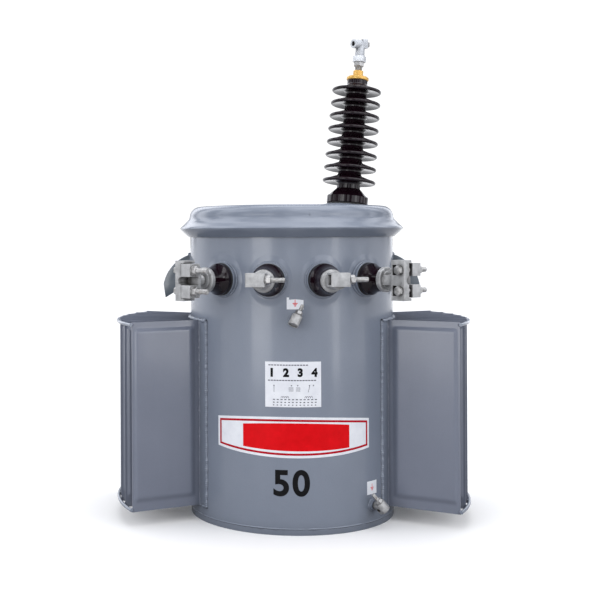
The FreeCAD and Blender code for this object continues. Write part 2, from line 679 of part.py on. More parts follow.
def fin():
    """Pressed hollow fin along +X: a thin flanged plate, swollen on both faces."""
    half = FIN_EDGE / 2
    plate = box((TANK_R - ROOT, -half, FIN_LOW), (FIN_OUT, half, FIN_HIGH))
    low_x = TANK_R + STRIP_THICK + FIN_INNER_BORDER
    high_x = FIN_OUT - FIN_OUTER_BORDER
    low_z = FIN_LOW + FIN_BOTTOM_BORDER
    high_z = FIN_HIGH - FIN_TOP_BORDER
    foot = [Vector(low_x, half, low_z), Vector(high_x, half, low_z),
            Vector(high_x, half, high_z), Vector(low_x, half, high_z)]
    low_x, high_x = low_x + FIN_INNER_BEVEL, high_x - FIN_OUTER_BEVEL
    low_z, high_z = low_z + FIN_BOTTOM_BEVEL, high_z - FIN_TOP_BEVEL
    rise = half + FIN_SWELL
    field = [Vector(low_x, rise, low_z), Vector(high_x, rise, low_z),
             Vector(high_x, rise, high_z), Vector(low_x, rise, high_z)]
    wires = [Part.makePolygon(loop + loop[:1]) for loop in (foot, field)]
    swell = Part.makeLoft(wires, True, True)
    mirrored = swell.mirror(Vector(0, 0, 0), Vector(0, 1, 0))
    root = Part.makeCylinder(TANK_R + STRIP_THICK, 2 * FIN_HIGH, Vector(0, 0, -FIN_HIGH))
    return plate.fuse(swell).fuse(mirrored).removeSplitter().cut(root)


def radiator_fins(side):
    middle = (FIN_COUNT - 1) / 2
    azimuths = [side * 90.0 + (i - middle) * FIN_SPACING for i in range(FIN_COUNT)]
    return Part.makeCompound([placed(fin(), at_azimuth(azimuth)) for azimuth in azimuths])


def ring_sector(inner, outer, low, high, half_angle, side):
    """Part of a ring round the tank, centred on one side."""
    outline = line((inner, low), (outer, low), (outer, high), (inner, high), (inner, low))
    face = Part.Face(Part.Wire(outline))
    sector = face.revolve(Vector(0, 0, 0), Vector(0, 0, 1), 2 * half_angle)
    return placed(sector, at_azimuth(side * 90.0 - half_angle))


def radiator_strip(side):
    """Curved strip on the tank that carries a bank of fins."""
    return ring_sector(TANK_R, TANK_R + STRIP_THICK, FIN_LOW, FIN_HIGH,
                       STRIP_HALF_ANGLE, side)


def radiator_ties(side):
    """Two bent rods across the fins' outer edges, one near each end."""
    half_angle = (FIN_COUNT - 1) / 2 * FIN_SPACING + TIE_SPARE_ANGLE
    rods = []
    for height in (FIN_LOW + TIE_INSET, FIN_HIGH - TIE_INSET):
        section = Part.Wire(Part.makeCircle(TIE_R, Vector(FIN_OUT + TIE_R, 0, height),
                                            Vector(0, 1, 0)))
        rod = Part.Face(section).revolve(Vector(0, 0, 0), Vector(0, 0, 1), 2 * half_angle)
        rods.append(placed(rod, at_azimuth(side * 90.0 - half_angle)))
    return Part.makeCompound(rods)


# ---- Lifting lugs, earthing connectors and hanger brackets ----

def lifting_lug(side):
    """Half-moon plate with a slanting underside that keeps a sling against the tank."""
    root = TANK_R - ROOT
    edges = arc((root, LUG_TOP), (LUG_SHOULDER_R, LUG_SHOULDER_Z), (LUG_OUT_R, LUG_OUT_Z))
    edges += line((LUG_OUT_R, LUG_OUT_Z), (LUG_TIP_R, LUG_TIP_Z), (root, LUG_ROOT_Z),
                  (root, LUG_TOP))
    face = Part.Face(Part.Wire(Part.__sortEdges__(edges)))
    plate = face.extrude(Vector(0, LUG_THICK, 0))
    plate.translate(Vector(0, -LUG_THICK / 2, 0))
    tank = Part.makeCylinder(TANK_R, 2 * LUG_TOP)
    return placed(plate.cut(tank), at_azimuth(side * 90.0))


def earth_pad(place):
    """Round pad welded to the tank."""
    azimuth, height, _ = EARTHS[place]
    pad = Part.makeCylinder(EARTH_PAD_R, EARTH_PAD_OUT - TANK_R + ROOT,
                            Vector(0, 0, TANK_R - ROOT))
    tank = Part.makeCylinder(TANK_R, 200, Vector(0, 0, -100))
    return placed(outward(pad).cut(tank), at_azimuth(azimuth, height))


def earth_clamp(place):
    """Barrel on a boss: two flats with a cable hole through them, a stud and its nut."""
    azimuth, height, lean = EARTHS[place]
    boss = outward(Part.makeCylinder(EARTH_BOSS_R, EARTH_BODY_AT - EARTH_PAD_OUT,
                                     Vector(0, 0, EARTH_PAD_OUT)))
    half = EARTH_BODY_HALF
    body = Part.makeCylinder(EARTH_BODY_R, 2 * half, Vector(0, 0, -half))
    body = body.makeFillet(EARTH_RIM, [edge for edge in body.Edges
                                       if edge.BoundBox.ZLength < 1])
    mouth = Part.makeCylinder(EARTH_MOUTH_R, EARTH_MOUTH_DEEP, Vector(0, 0, -half))
    flats = box((-EARTH_BODY_R, -EARTH_FLAT_HALF, -half), (EARTH_BODY_R, EARTH_FLAT_HALF, half))
    body = body.common(flats)
    stud = Part.makeCylinder(EARTH_STUD_R, EARTH_STUD_HIGH - EARTH_STUD_LOW,
                             Vector(0, 0, EARTH_STUD_LOW))
    nut = hexagon(EARTH_NUT_FLATS, EARTH_NUT_THICK, half)
    stud = stud.fuse(nut)
    stud.translate(Vector(EARTH_STUD_SHIFT, 0, 0))
    hole = sideways(Part.makeCylinder(EARTH_HOLE_R, 4 * half, Vector(0, 0, -2 * half)))
    hole.translate(Vector(EARTH_HOLE_SHIFT, 0, 0))
    turn = Rotation(Vector(1, 0, 0), -lean).multiply(Rotation(Vector(0, 1, 0), -EARTH_TILT))
    tilt = Placement(Vector(EARTH_BODY_AT, 0, 0), turn)
    clamp = boss.fuse(placed(body.fuse(stud), tilt))
    for cutter in (mouth, hole):
        clamp = clamp.cut(placed(cutter, tilt))
    return placed(clamp.removeSplitter(), at_azimuth(azimuth, height))


def hanger(place):
    """Channel bracket on the back of the tank, with one bolt hole in its face."""
    level = HANGER_LEVELS[place]
    face = HANGER_FACE
    inside = HANGER_THICK
    block = box((TANK_R - 2 * ROOT, -HANGER_HALF_WIDE, -HANGER_HALF_HIGH),
                (face, HANGER_HALF_WIDE, HANGER_HALF_HIGH))
    hollow = box((TANK_R - 3 * ROOT, -HANGER_HALF_WIDE + inside, -HANGER_HALF_HIGH - OVERRUN),
                 (face - inside, HANGER_HALF_WIDE - inside, HANGER_HALF_HIGH + OVERRUN))
    tank = Part.makeCylinder(TANK_R, 4 * HANGER_HALF_HIGH, Vector(0, 0, -2 * HANGER_HALF_HIGH))
    hole = outward(Part.makeCylinder(HANGER_HOLE_R, 4 * inside, Vector(0, 0, face - 2 * inside)))
    return placed(block.cut(hollow).cut(tank).cut(hole), at_azimuth(180.0, level))


def all_nodes():
    """Every named piece of the transformer."""
    nodes = {
        "tank_shell": tank_shell(),
        "tank_bottom": tank_bottom(),
        "tank_lip": tank_lip(),
        "lid_gasket": lid_gasket(),
        "lid": lid(),
        "clamp_band": clamp_band(),
        "clamp_band_bolt": clamp_band_bolt(),
        "hv_pad": hv_pad(),
        "hv_gasket": hv_gasket(),
        "hv_porcelain": hv_porcelain(),
        "hv_cap": hv_cap(),
        "hv_stud": hv_stud(),
        "hv_terminal": hv_terminal(),
        "hv_terminal_screw": hv_terminal_screw(),
        "lv_gaskets": lv_gaskets(),
    }
    for number, azimuth in enumerate(LV_AZIMUTHS, start=1):
        nodes[f"lv_collar_{number}"] = lv_collar(azimuth)
        nodes[f"lv_porcelain_{number}"] = lv_porcelain(azimuth)
        if number in OUTER_JAW_GAPS:
            gap = OUTER_JAW_GAPS[number]
            nodes[f"lv_clamp_{number}"] = outer_clamp(azimuth, gap)
            nodes[f"lv_bolts_{number}"] = outer_bolts(azimuth, gap)
        else:
            nodes[f"lv_clamp_{number}"] = inner_clamp(azimuth)
            nodes[f"lv_bolts_{number}"] = inner_bolt(azimuth)
    for name, side in (("left", -1), ("right", 1)):
        nodes[f"radiator_{name}_strip"] = radiator_strip(side)
        nodes[f"radiator_{name}_fins"] = radiator_fins(side)
        nodes[f"radiator_{name}_ties"] = radiator_ties(side)
        nodes[f"lifting_lug_{name}"] = lifting_lug(side)
    for place in EARTHS:
        nodes[f"earth_pad_{place}"] = earth_pad(place)
        nodes[f"earth_clamp_{place}"] = earth_clamp(place)
    for place in HANGER_LEVELS:
        nodes[f"hanger_{place}"] = hanger(place)
    return nodes


os.makedirs("parts", exist_ok=True)
for name, shape in all_nodes().items():
    shape.exportStep(f"parts/{name}.step")
    print(name, len(shape.Solids), round(shape.Volume / 1000.0, 1), "cm3", shape.isValid())
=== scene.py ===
import bmesh
import bpy
import json
import math
from mathutils import Matrix, Vector, noise


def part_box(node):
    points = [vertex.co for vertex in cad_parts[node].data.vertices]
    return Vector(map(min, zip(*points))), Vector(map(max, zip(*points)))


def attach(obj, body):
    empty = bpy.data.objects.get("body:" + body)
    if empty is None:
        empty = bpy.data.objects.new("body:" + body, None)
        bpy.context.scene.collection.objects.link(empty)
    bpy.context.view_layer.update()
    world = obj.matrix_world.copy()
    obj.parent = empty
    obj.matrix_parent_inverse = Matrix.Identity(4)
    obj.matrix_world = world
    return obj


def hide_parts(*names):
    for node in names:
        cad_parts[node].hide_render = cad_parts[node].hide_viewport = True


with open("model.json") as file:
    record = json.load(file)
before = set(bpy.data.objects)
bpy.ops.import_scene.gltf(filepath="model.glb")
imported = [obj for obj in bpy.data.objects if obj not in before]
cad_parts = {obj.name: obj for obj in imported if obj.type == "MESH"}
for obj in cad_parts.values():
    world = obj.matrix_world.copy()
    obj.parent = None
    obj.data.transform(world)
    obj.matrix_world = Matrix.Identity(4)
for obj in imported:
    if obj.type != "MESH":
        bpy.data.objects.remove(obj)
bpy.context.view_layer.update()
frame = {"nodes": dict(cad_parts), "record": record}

# The frame's units are metres. +Z is up, the front faces -Y, and an azimuth is measured round
# the tank from the front, positive towards +X. "Along" is the distance round the tank, in the
# flat plane that touches it at that azimuth.

MM = 0.001
TANK_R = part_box("tank_shell")[1][0]
MOUNTS = {mount["name"]: mount for mount in frame["record"]["mounts"]}

LV_AZIMUTHS = (-41.4, -13.7, 14.5, 41.4)
LV_Z = 601 * MM
OUTER_BOLT_SPAN = 91 * MM
INNER_BOLT_SPAN = 84 * MM
BOLT_R = 6 * MM
BOLT_PITCH = 1.75 * MM
NUT_FLATS = 19 * MM
NUT_THICK = 10 * MM
WASHER_R = 12 * MM
WASHER_THICK = 2 * MM

HV_AZIMUTH = 120.0
HV_RADIUS = 178 * MM
HV_BASE_Z = 788.5 * MM
HV_LEAN = 6.9
HV_LEAN_AZIMUTH = 128.0
HV_STUD_R = 10 * MM
HV_STUD_LOW, HV_STUD_HIGH = 360 * MM, 374 * MM
HV_STUD_PITCH = 2.0 * MM
HV_NUT_FLATS = 25 * MM
HV_NUT_LOW, HV_NUT_HIGH = 373 * MM, 385 * MM

BAND_MIDDLE_Z = 724 * MM
BAND_SPLIT_HALF = 9 * MM
BAND_EAR_IN, BAND_EAR_OUT = 8 * MM, 13 * MM
BAND_EAR_HALF_HIGH = 15 * MM
BAND_EAR_DEEP = 10 * MM
BAND_BOLT_R = 5 * MM
BAND_BOLT_PITCH = 1.5 * MM
BAND_NUT_FLATS = 17 * MM
BAND_NUT_THICK = 8 * MM

FIN_AZIMUTHS = [90.0 + (i - 3.5) * 7.8 for i in range(8)]
STRIP_HALF_ANGLE = 34.7
STRIP_OUT = TANK_R + 3 * MM
FIN_LOW, FIN_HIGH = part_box("radiator_left_fins")[0][2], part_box("radiator_left_fins")[1][2]
FIN_OUT = 442 * MM
FIN_EDGE = 1.5 * MM
FIN_FIELD_RISE = 4.4 * MM
FIN_PILLOW = 0.5 * MM
FIN_WELD = 1.9 * MM
FIN_WELD_STEP = 2.6 * MM
ROD_INSET = 6 * MM
ROD_WELD = 4.6 * MM
STRIP_SIDE_WELD = 4.0 * MM
STRIP_END_WELD = 4.2 * MM
WELD_LEAN = 0.8

EARTHS = {"upper": (-0.5, 508 * MM, 27.0), "lower": (45.8, 55 * MM, -36.0)}
EARTH_TILT = math.radians(22.0)
EARTH_BODY_AT = 288 * MM
EARTH_STUD_SHIFT = 7 * MM
EARTH_THREAD_R = 4.7 * MM
EARTH_THREAD_LOW, EARTH_THREAD_HIGH = 20 * MM, 40 * MM
EARTH_THREAD_PITCH = 1.5 * MM
EARTH_NUT_FLATS = 16 * MM
EARTH_NUT_LOW, EARTH_NUT_HIGH = 14.2 * MM, 22 * MM
EARTH_WASHER_R = 8.5 * MM
EARTH_WASHER_LOW, EARTH_WASHER_HIGH = 12.6 * MM, 13.6 * MM
EARTH_PAD_R = 13.5 * MM
EARTH_PAD_WELD = 2.2 * MM

WALL_THICK = 3 * MM
WALL_WAVE = 0.35 * MM
WALL_FINE_FROM = 430 * MM
SEAT_PULL = 3.4 * MM
SEAT_PULL_REACH = 80 * MM
SEAT_PULL_ABOVE, SEAT_PULL_BELOW = 0.62, 0.85
SEAT_R = 43 * MM
SEAT_FADE = 24 * MM
SEAT_WELD_R = 42.3 * MM
SEAT_WELD = 2.4 * MM
BASE_SEAM_Z = 15 * MM
BASE_SEAM_WELD = 2.0 * MM
WALL_SEAM_AZIMUTH = 152.0
WALL_SEAM_LOW, WALL_SEAM_HIGH = 18 * MM, 700 * MM
WALL_SEAM_WELD = 2.4 * MM
LUG_ROOT_Z = 592 * MM
LUG_WELD = 2.8 * MM
HANGER_WELD = 3.2 * MM


# ---- Places ----

def outward_from(azimuth):
    """Unit vector straight out of the tank at an azimuth."""
    angle = math.radians(azimuth)
    return Vector((math.sin(angle), -math.cos(angle), 0))


def around_at(azimuth):
    """Unit vector round the tank at an azimuth."""
    angle = math.radians(azimuth)
    return Vector((math.cos(angle), math.sin(angle), 0))


def place(azimuth, radius, height, along=0.0):
    """Point at an azimuth, a distance from the axis and a height."""
    point = outward_from(azimuth) * radius + around_at(azimuth) * along
    return point + Vector((0, 0, height))


def hv_frame():
    """Foot of the high-voltage bushing, with +Z along its leaning axis."""
    foot = place(HV_AZIMUTH, HV_RADIUS, HV_BASE_Z)
    hinge = around_at(HV_LEAN_AZIMUTH)
    return Matrix.Translation(foot) @ Matrix.Rotation(math.radians(HV_LEAN), 4, hinge)


def at_turn(matrix, radius, turn, height):
    """Point of a frame at a radius, a share of a turn about +Z and a height."""
    angle = math.tau * turn
    return matrix @ Vector((radius * math.cos(angle), radius * math.sin(angle), height))


def eased(distance, start, width):
    """Smooth step from 0 at start to 1 a width further on."""
    share = min(1.0, max(0.0, (distance - start) / width))
    return share * share * (3 - 2 * share)


def facing(origin, direction):
    """Frame at a point, with +Z along a direction."""
    turn = Vector(direction).to_track_quat("Z", "Y").to_matrix().to_4x4()
    return Matrix.Translation(origin) @ turn


# ---- Mesh making ----

class Form:
    """Vertices and faces of one piece."""

    def __init__(self):
        self.verts = []
        self.faces = []

    def add(self, verts, faces):
        first = len(self.verts)
        self.verts += [Vector(v) for v in verts]
        self.faces += [[first + i for i in face] for face in faces]

    def sheet(self, rows, closed=False, capped=False):
        """Quads between rows of points; closed joins each row's ends, capped fills both ends."""
        wide = len(rows[0])
        across = wide if closed else wide - 1
        faces = []
        for j in range(len(rows) - 1):
            for i in range(across):
                k = (i + 1) % wide
                low, high = j * wide, (j + 1) * wide
                faces.append((low + i, low + k, high + k, high + i))
        if capped:
            last = (len(rows) - 1) * wide
            faces.append(tuple(reversed(range(wide))))
            faces.append(tuple(range(last, last + wide)))
        self.add([point for row in rows for point in row], faces)

    def turned(self, profile, matrix, steps=48):
        """Lathe of (radius, height) points about +Z of a frame."""
        rows = []
        for radius, height in profile:
            rows.append([at_turn(matrix, radius, i / steps, height) for i in range(steps)])
        self.sheet(rows, closed=True, capped=True)

    def piece(self, name, material, slot=None, stands_for=(), smooth_angle=40.0):
        """Piece of the object from what was added so far."""
        mesh = bpy.data.meshes.new(name)
        mesh.from_pydata([tuple(v) for v in self.verts], [], self.faces)
        finish_piece(name, mesh, material, stands_for, smooth_angle)


def finish_piece(name, mesh, material, stands_for, smooth_angle):
    """Object from a mesh, tidied, shaded and riding on the root body."""
    form = bmesh.new()
    form.from_mesh(mesh)
    bmesh.ops.recalc_face_normals(form, faces=form.faces)
    form.to_mesh(mesh)
    form.free()
    mesh.materials.clear()
    mesh.materials.append(material)
    mesh.shade_smooth()
    mesh.set_sharp_from_angle(angle=math.radians(smooth_angle))
    piece = bpy.data.objects.new(name, mesh)
    bpy.context.scene.collection.objects.link(piece)
    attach(piece, "root")
    if stands_for:
        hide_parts(*stands_for)


def softened(node, material, width, segments=2, dent=0.0):
    """Copy of a CAD node with rounded edges and slight dents, if any, standing for it.

    noise_vector isn't seeded, so the dents differ by up to about 0.6 mm from run to run.
    """
    form = bmesh.new()
    form.from_mesh(frame["nodes"][node].data)
    bmesh.ops.remove_doubles(form, verts=form.verts, dist=0.01 * MM)
    bmesh.ops.dissolve_limit(form, angle_limit=math.radians(1.5), use_dissolve_boundaries=False,
                             verts=form.verts, edges=form.edges)
    sharp = [edge for edge in form.edges
             if len(edge.link_faces) == 2 and edge.calc_face_angle(0) > math.radians(28)]
    bmesh.ops.bevel(form, geom=sharp, offset=width, offset_type="OFFSET", segments=segments,
                    profile=0.5, affect="EDGES", clamp_overlap=True)
    bmesh.ops.triangulate(form, faces=[face for face in form.faces if len(face.verts) > 4])
    if dent:
        for vert in form.verts:
            vert.co += noise.noise_vector(vert.co * 60) * dent
    mesh = bpy.data.meshes.new(node + "_rounded")
    form.to_mesh(mesh)
    form.free()
    finish_piece(node + "_rounded", mesh, material, (node,), 35.0)


BEAD_STEP = 1.3 * MM
BEAD_RIPPLE = 0.20
BEAD_LUMP = 0.60


def weld_bead(form, points, normals, radius, seed, closed=False):
    """Half-round bead with overlapping ripples along a row of points on a surface."""
    sections = 7
    count = len(points)
    rows = []
    for i in range(count):
        before = points[i - 1] if (i or closed) else points[i]
        after = points[(i + 1) % count] if (i + 1 < count or closed) else points[i]
        tangent = (after - before).normalized()
        normal = normals[i].normalized()
        side = tangent.cross(normal)
        ripple = 1.0 + BEAD_RIPPLE * (0.5 - (i % 4) / 3.0)
        lump = 1.0 + BEAD_LUMP * noise.noise(Vector((points[i].length * 90, seed, i * 0.11)))
        size = radius * ripple * lump
        row = []
        for k in range(sections):
            angle = math.pi * (k / (sections - 1) * 1.3 - 0.15)
            row.append(points[i] + side * (math.cos(angle) * size)
                       + normal * (math.sin(angle) * size * 0.8))
        rows.append(row)
    if closed:
        rows.append(rows[0])
    form.sheet(rows)


def bead_up(form, azimuth, radius, low, high, size, lean=0.0, seed=0.0, step=BEAD_STEP):
    """Bead up the tank; lean turns it to one side of the outward direction."""
    count = int((high - low) / step)
    normal = outward_from(azimuth) * math.cos(lean) + around_at(azimuth) * math.sin(lean)
    points = []
    for i in range(count + 1):
        height = low + (high - low) * i / count
        sway = 0.35 * size * noise.noise(Vector((height * 40, seed, azimuth)))
        points.append(place(azimuth, radius, height, sway))
    weld_bead(form, points, [normal] * len(points), size, seed)


def bead_round(form, radius, height, start, finish, size, seed, tilt=0.0):
    """Bead round the tank between two azimuths; tilt turns it up or down."""
    count = int(math.radians(finish - start) * radius / BEAD_STEP)
    points, normals = [], []
    for i in range(count + 1):
        azimuth = start + (finish - start) * i / count
        sway = 0.3 * size * noise.noise(Vector((azimuth * 0.7, seed, height)))
        points.append(place(azimuth, radius, height + sway))
        normals.append(outward_from(azimuth) * math.cos(tilt) + Vector((0, 0, math.sin(tilt))))
    weld_bead(form, points, normals, size, seed)


def bead_ring(form, azimuth, height, ring_r, size, seed):
    """Bead where a round boss meets the tank."""
    count = max(24, int(math.tau * ring_r / BEAD_STEP))
    points, normals = [], []
    for i in range(count):
        angle = math.tau * i / count
        along, up = ring_r * math.cos(angle), ring_r * math.sin(angle)
        surface = math.sqrt(TANK_R ** 2 - along ** 2)
        points.append(place(azimuth, surface, height + up, along))
        spread = around_at(azimuth) * math.cos(angle) + Vector((0, 0, math.sin(angle)))
        normals.append(outward_from(azimuth) + spread)
    weld_bead(form, points, normals, size, seed, closed=True)


# ---- Materials ----

class Nodes:
    """Short way to add and join the shader nodes of a material or a world."""

    def __init__(self, owner, coordinates="Object"):
        owner.use_nodes = True
        self.owner = owner
        self.tree = owner.node_tree
        self.place = self.add("ShaderNodeTexCoord").outputs[coordinates]

    def add(self, kind, **settings):
        node = self.tree.nodes.new(kind)
        for key, value in settings.items():
            setattr(node, key, value)
        return node

    def join(self, source, target):
        self.tree.links.new(source, target)

    def stretched(self, scale):
        """Coordinates scaled along each axis."""
        node = self.add("ShaderNodeMapping")
        node.inputs["Scale"].default_value = scale
        self.join(self.place, node.inputs["Vector"])
        return node.outputs["Vector"]

    def noise(self, scale, detail=3.0, rough=0.5, where=None):
        node = self.add("ShaderNodeTexNoise")
        node.inputs["Scale"].default_value = scale
        node.inputs["Detail"].default_value = detail
        node.inputs["Roughness"].default_value = rough
        self.join(where or self.place, node.inputs["Vector"])
        return node.outputs["Fac"]

    def ramp(self, factor, stops):
        node = self.add("ShaderNodeValToRGB")
        elements = node.color_ramp.elements
        while len(elements) < len(stops):
            elements.new(0.5)
        for element, (position, colour) in zip(elements, stops):
            element.position = position
            element.color = (*colour, 1.0)
        self.join(factor, node.inputs["Fac"])
        return node.outputs["Color"]

    def level(self, factor, low, high, start=0.3, finish=0.7):
        """Factor stretched from start..finish to low..high."""
        node = self.add("ShaderNodeMapRange")
        node.inputs["From Min"].default_value = start
        node.inputs["From Max"].default_value = finish
        node.inputs["To Min"].default_value = low
        node.inputs["To Max"].default_value = high
        self.join(factor, node.inputs["Value"])
        return node.outputs["Result"]

    def mix(self, factor, first, second, blend="MIX"):
        node = self.add("ShaderNodeMix", data_type="RGBA", blend_type=blend)
        for socket, value in ((node.inputs["Factor"], factor), (node.inputs[6], first),
                              (node.inputs[7], second)):
            if isinstance(value, (float, int)):
                socket.default_value = value
            elif isinstance(value, tuple):
                socket.default_value = (*value, 1.0)
            else:
                self.join(value, socket)
        return node.outputs[2]

    def occlusion(self, distance):
        """1 in the open, towards 0 where other surfaces stand within a distance."""
        node = self.add("ShaderNodeAmbientOcclusion", samples=8)
        node.inputs["Distance"].default_value = distance
        return node.outputs["AO"]

    def bump(self, height, distance, under=None):
        node = self.add("ShaderNodeBump")
        node.inputs["Distance"].default_value = distance
        self.join(height, node.inputs["Height"])
        if under:
            self.join(under, node.inputs["Normal"])
        return node.outputs["Normal"]

    def finish(self, colour, rough, normal=None, **values):
        """The material, with its shader's sockets linked or set."""
        inputs = self.tree.nodes["Principled BSDF"].inputs
        for socket, link in (("Base Color", colour), ("Roughness", rough), ("Normal", normal)):
            if link:
                self.join(link, inputs[socket])
        for key, value in values.items():
            inputs[key.replace("_", " ")].default_value = value
        return self.owner


def material_nodes(name):
    """Nodes of a new material."""
    return Nodes(bpy.data.materials.new(name))


CORNER_SHADE_REACH = 60 * MM
CREVICE_REACH = 16 * MM
VEIL_ROUGHNESS = 0.55


def paint_material(name, dark, light, dents):
    """Sprayed enamel over sheet: clouded, dented, dull on top, and darker in its corners and gaps
    from painted shade.
    """
    n = material_nodes(name)
    broad = n.noise(5.0, 4.0, 0.6)
    runs = n.noise(26.0, 2.0, 0.5, n.stretched((1.0, 1.0, 0.06)))
    colour = n.ramp(broad, [(0.25, dark), (0.75, light)])
    colour = n.mix(n.level(runs, 0.0, 0.3), colour, light)
    grain = n.level(n.noise(650.0, 2.0, 0.6), 0.97, 1.04)
    colour = n.mix(1.0, colour, grain, "MULTIPLY")
    # Painted shade: the colour is darkened where other surfaces stand near, as between fins and
    # under the band.
    corners = n.level(n.occlusion(CORNER_SHADE_REACH), 0.40, 1.0, 0.15, 0.80)
    colour = n.mix(1.0, colour, corners, "MULTIPLY")
    rough = n.level(n.noise(9.0, 3.0, 0.5), 0.19, 0.27)
    facing_up = n.add("ShaderNodeSeparateXYZ")
    n.join(n.add("ShaderNodeNewGeometry").outputs["Normal"], facing_up.inputs[0])
    veil = n.level(facing_up.outputs["Z"], 0.0, 1.0, 0.93, 0.995)
    rough = n.mix(veil, rough, (VEIL_ROUGHNESS,) * 3)
    hollow = n.noise(6.0, 1.5, 0.45, n.stretched((1.0, 1.0, 0.5)))
    normal = n.bump(hollow, dents)
    normal = n.bump(n.noise(260.0, 1.0, 0.5), 0.00003, under=normal)
    return n.finish(colour, rough, normal, Coat_Weight=0.28, Coat_Roughness=0.1,
                    Specular_IOR_Level=0.5)


def porcelain_material():
    """Thick dark glaze, slightly wavy, with a purple-brown body under it."""
    n = material_nodes("glazed_porcelain")
    cloud = n.noise(22.0, 4.0, 0.6)
    colour = n.ramp(cloud, [(0.25, (0.004, 0.0015, 0.003)), (0.75, (0.012, 0.004, 0.008))])
    specks = n.level(n.noise(900.0, 1.0, 0.5), 0.0, 0.35, 0.7, 0.76)
    colour = n.mix(specks, colour, (0.06, 0.035, 0.035))
    normal = n.bump(n.noise(45.0, 2.0, 0.5), 0.0004)
    return n.finish(colour, n.level(cloud, 0.06, 0.14), normal, Coat_Weight=0.12,
                    Coat_Roughness=0.04, Specular_IOR_Level=0.28)


def rubber_material():
    """Dull black sheet rubber."""
    n = material_nodes("sheet_rubber")
    fine = n.noise(300.0, 4.0, 0.6)
    colour = n.ramp(fine, [(0.3, (0.010, 0.010, 0.011)), (0.75, (0.035, 0.034, 0.034))])
    return n.finish(colour, n.level(fine, 0.6, 0.85), n.bump(fine, 0.0003))


def brass_material():
    """Yellow turned brass with a light tarnish."""
    n = material_nodes("turned_brass")
    lathe = n.noise(700.0, 2.0, 0.5, n.stretched((0.05, 0.05, 1.0)))
    stain = n.noise(70.0, 4.0, 0.6)
    colour = n.ramp(stain, [(0.3, (0.60, 0.33, 0.08)), (0.7, (0.86, 0.55, 0.15))])
    return n.finish(colour, n.level(lathe, 0.25, 0.42), n.bump(lathe, 0.00008), Metallic=0.55)


def casting_material(name, base, light, grime_and_shade, metallic):
    """Sand-cast metal: grainy and pitted, lighter on its edges from wear and painted highlight, and
    darker in its hollows from dirt and painted shade.
    """
    n = material_nodes(name)
    grain = n.noise(520.0, 4.0, 0.65)
    patch = n.noise(55.0, 4.0, 0.6)
    colour = n.ramp(patch, [(0.3, base), (0.72, light)])
    colour = n.mix(n.level(grain, 0.0, 0.4, 0.5, 0.75), colour, light)
    # Painted highlight with wear: sharp edges are made lighter.
    point = n.add("ShaderNodeNewGeometry").outputs["Pointiness"]
    colour = n.mix(n.level(point, 0.0, 0.55, 0.52, 0.60), colour,
                   tuple(min(1.0, 1.5 * part) for part in light))
    # Dirt with painted shade: the colour goes towards near black where other surfaces stand close.
    dirt_and_shade = n.level(n.occlusion(CREVICE_REACH), 0.96, 0.0, 0.42, 0.94)
    colour = n.mix(dirt_and_shade, colour, grime_and_shade)
    rough = n.level(patch, 0.40, 0.58)
    normal = n.bump(n.noise(150.0, 3.0, 0.55), 0.0009)
    normal = n.bump(grain, 0.0004, under=normal)
    return n.finish(colour, rough, normal, Metallic=metallic)


def plated_material():
    """Zinc-plated steel, patchy, with a trace of rust."""
    n = material_nodes("zinc_plate")
    patch = n.noise(130.0, 4.0, 0.65)
    fine = n.noise(900.0, 2.0, 0.5)
    colour = n.ramp(patch, [(0.3, (0.27, 0.27, 0.265)), (0.7, (0.58, 0.575, 0.57))])
    rust = n.level(n.noise(48.0, 5.0, 0.7), 0.0, 0.6, 0.6, 0.72)
    colour = n.mix(rust, colour, (0.19, 0.09, 0.035))
    return n.finish(colour, n.level(patch, 0.25, 0.45), n.bump(fine, 0.00006), Metallic=0.75)


def print_material(name, dark, light, gloss, shine):
    """Printed film: almost even, with a faint unevenness in colour and sheen."""
    n = material_nodes(name)
    cloud = n.noise(40.0, 4.0, 0.6)
    colour = n.ramp(cloud, [(0.3, dark), (0.7, light)])
    rough = n.level(n.noise(200.0, 2.0, 0.5), gloss, gloss + 0.12)
    return n.finish(colour, rough, n.bump(n.noise(90.0, 2.0, 0.5), 0.00008),
                    Specular_IOR_Level=shine)


PAINT = paint_material("blue_grey_enamel", (0.178, 0.206, 0.262), (0.212, 0.242, 0.302), 0.003)
# The lugs' enamel is the tank's enamel made much darker as painted shade.
LUG_ENAMEL_PAINTED_SHADE = paint_material("lug_enamel_painted_shade", (0.080, 0.100, 0.122), (0.105, 0.128, 0.152), 0.001)
# The fins' and their welds' enamel is the tank's enamel made darker as painted shade.
FIN_ENAMEL_PAINTED_SHADE = paint_material("fin_enamel_painted_shade", (0.152, 0.171, 0.224),
                             (0.180, 0.200, 0.257), 0.0012)
PORCELAIN = porcelain_material()
RUBBER = rubber_material()
BRASS = brass_material()
# Each casting's third colour is the near black of dirt and painted shade in its hollows.
CASTING = casting_material("sand_casting", (0.25, 0.252, 0.255), (0.53, 0.535, 0.54),
                           (0.022, 0.018, 0.015), 0.45)
TERMINAL = casting_material("tinned_casting", (0.42, 0.44, 0.47), (0.62, 0.64, 0.67),
                            (0.07, 0.065, 0.065), 0.5)
EARTHING = casting_material("tinned_fitting", (0.27, 0.27, 0.27), (0.56, 0.56, 0.56),
                            (0.03, 0.024, 0.018), 0.6)
PLATED = plated_material()
WHITE_FILM = print_material("white_film", (0.76, 0.78, 0.84), (0.86, 0.88, 0.93), 0.28, 0.4)
RED_FILM = print_material("red_film", (0.66, 0.001, 0.004), (0.78, 0.002, 0.007), 0.4, 0.12)
DARK_RED_FILM = print_material("dark_red_film", (0.40, 0.002, 0.012), (0.50, 0.003, 0.016),
                               0.4, 0.12)
BLACK_INK = print_material("black_ink", (0.003, 0.003, 0.004), (0.008, 0.008, 0.009), 0.5, 0.12)
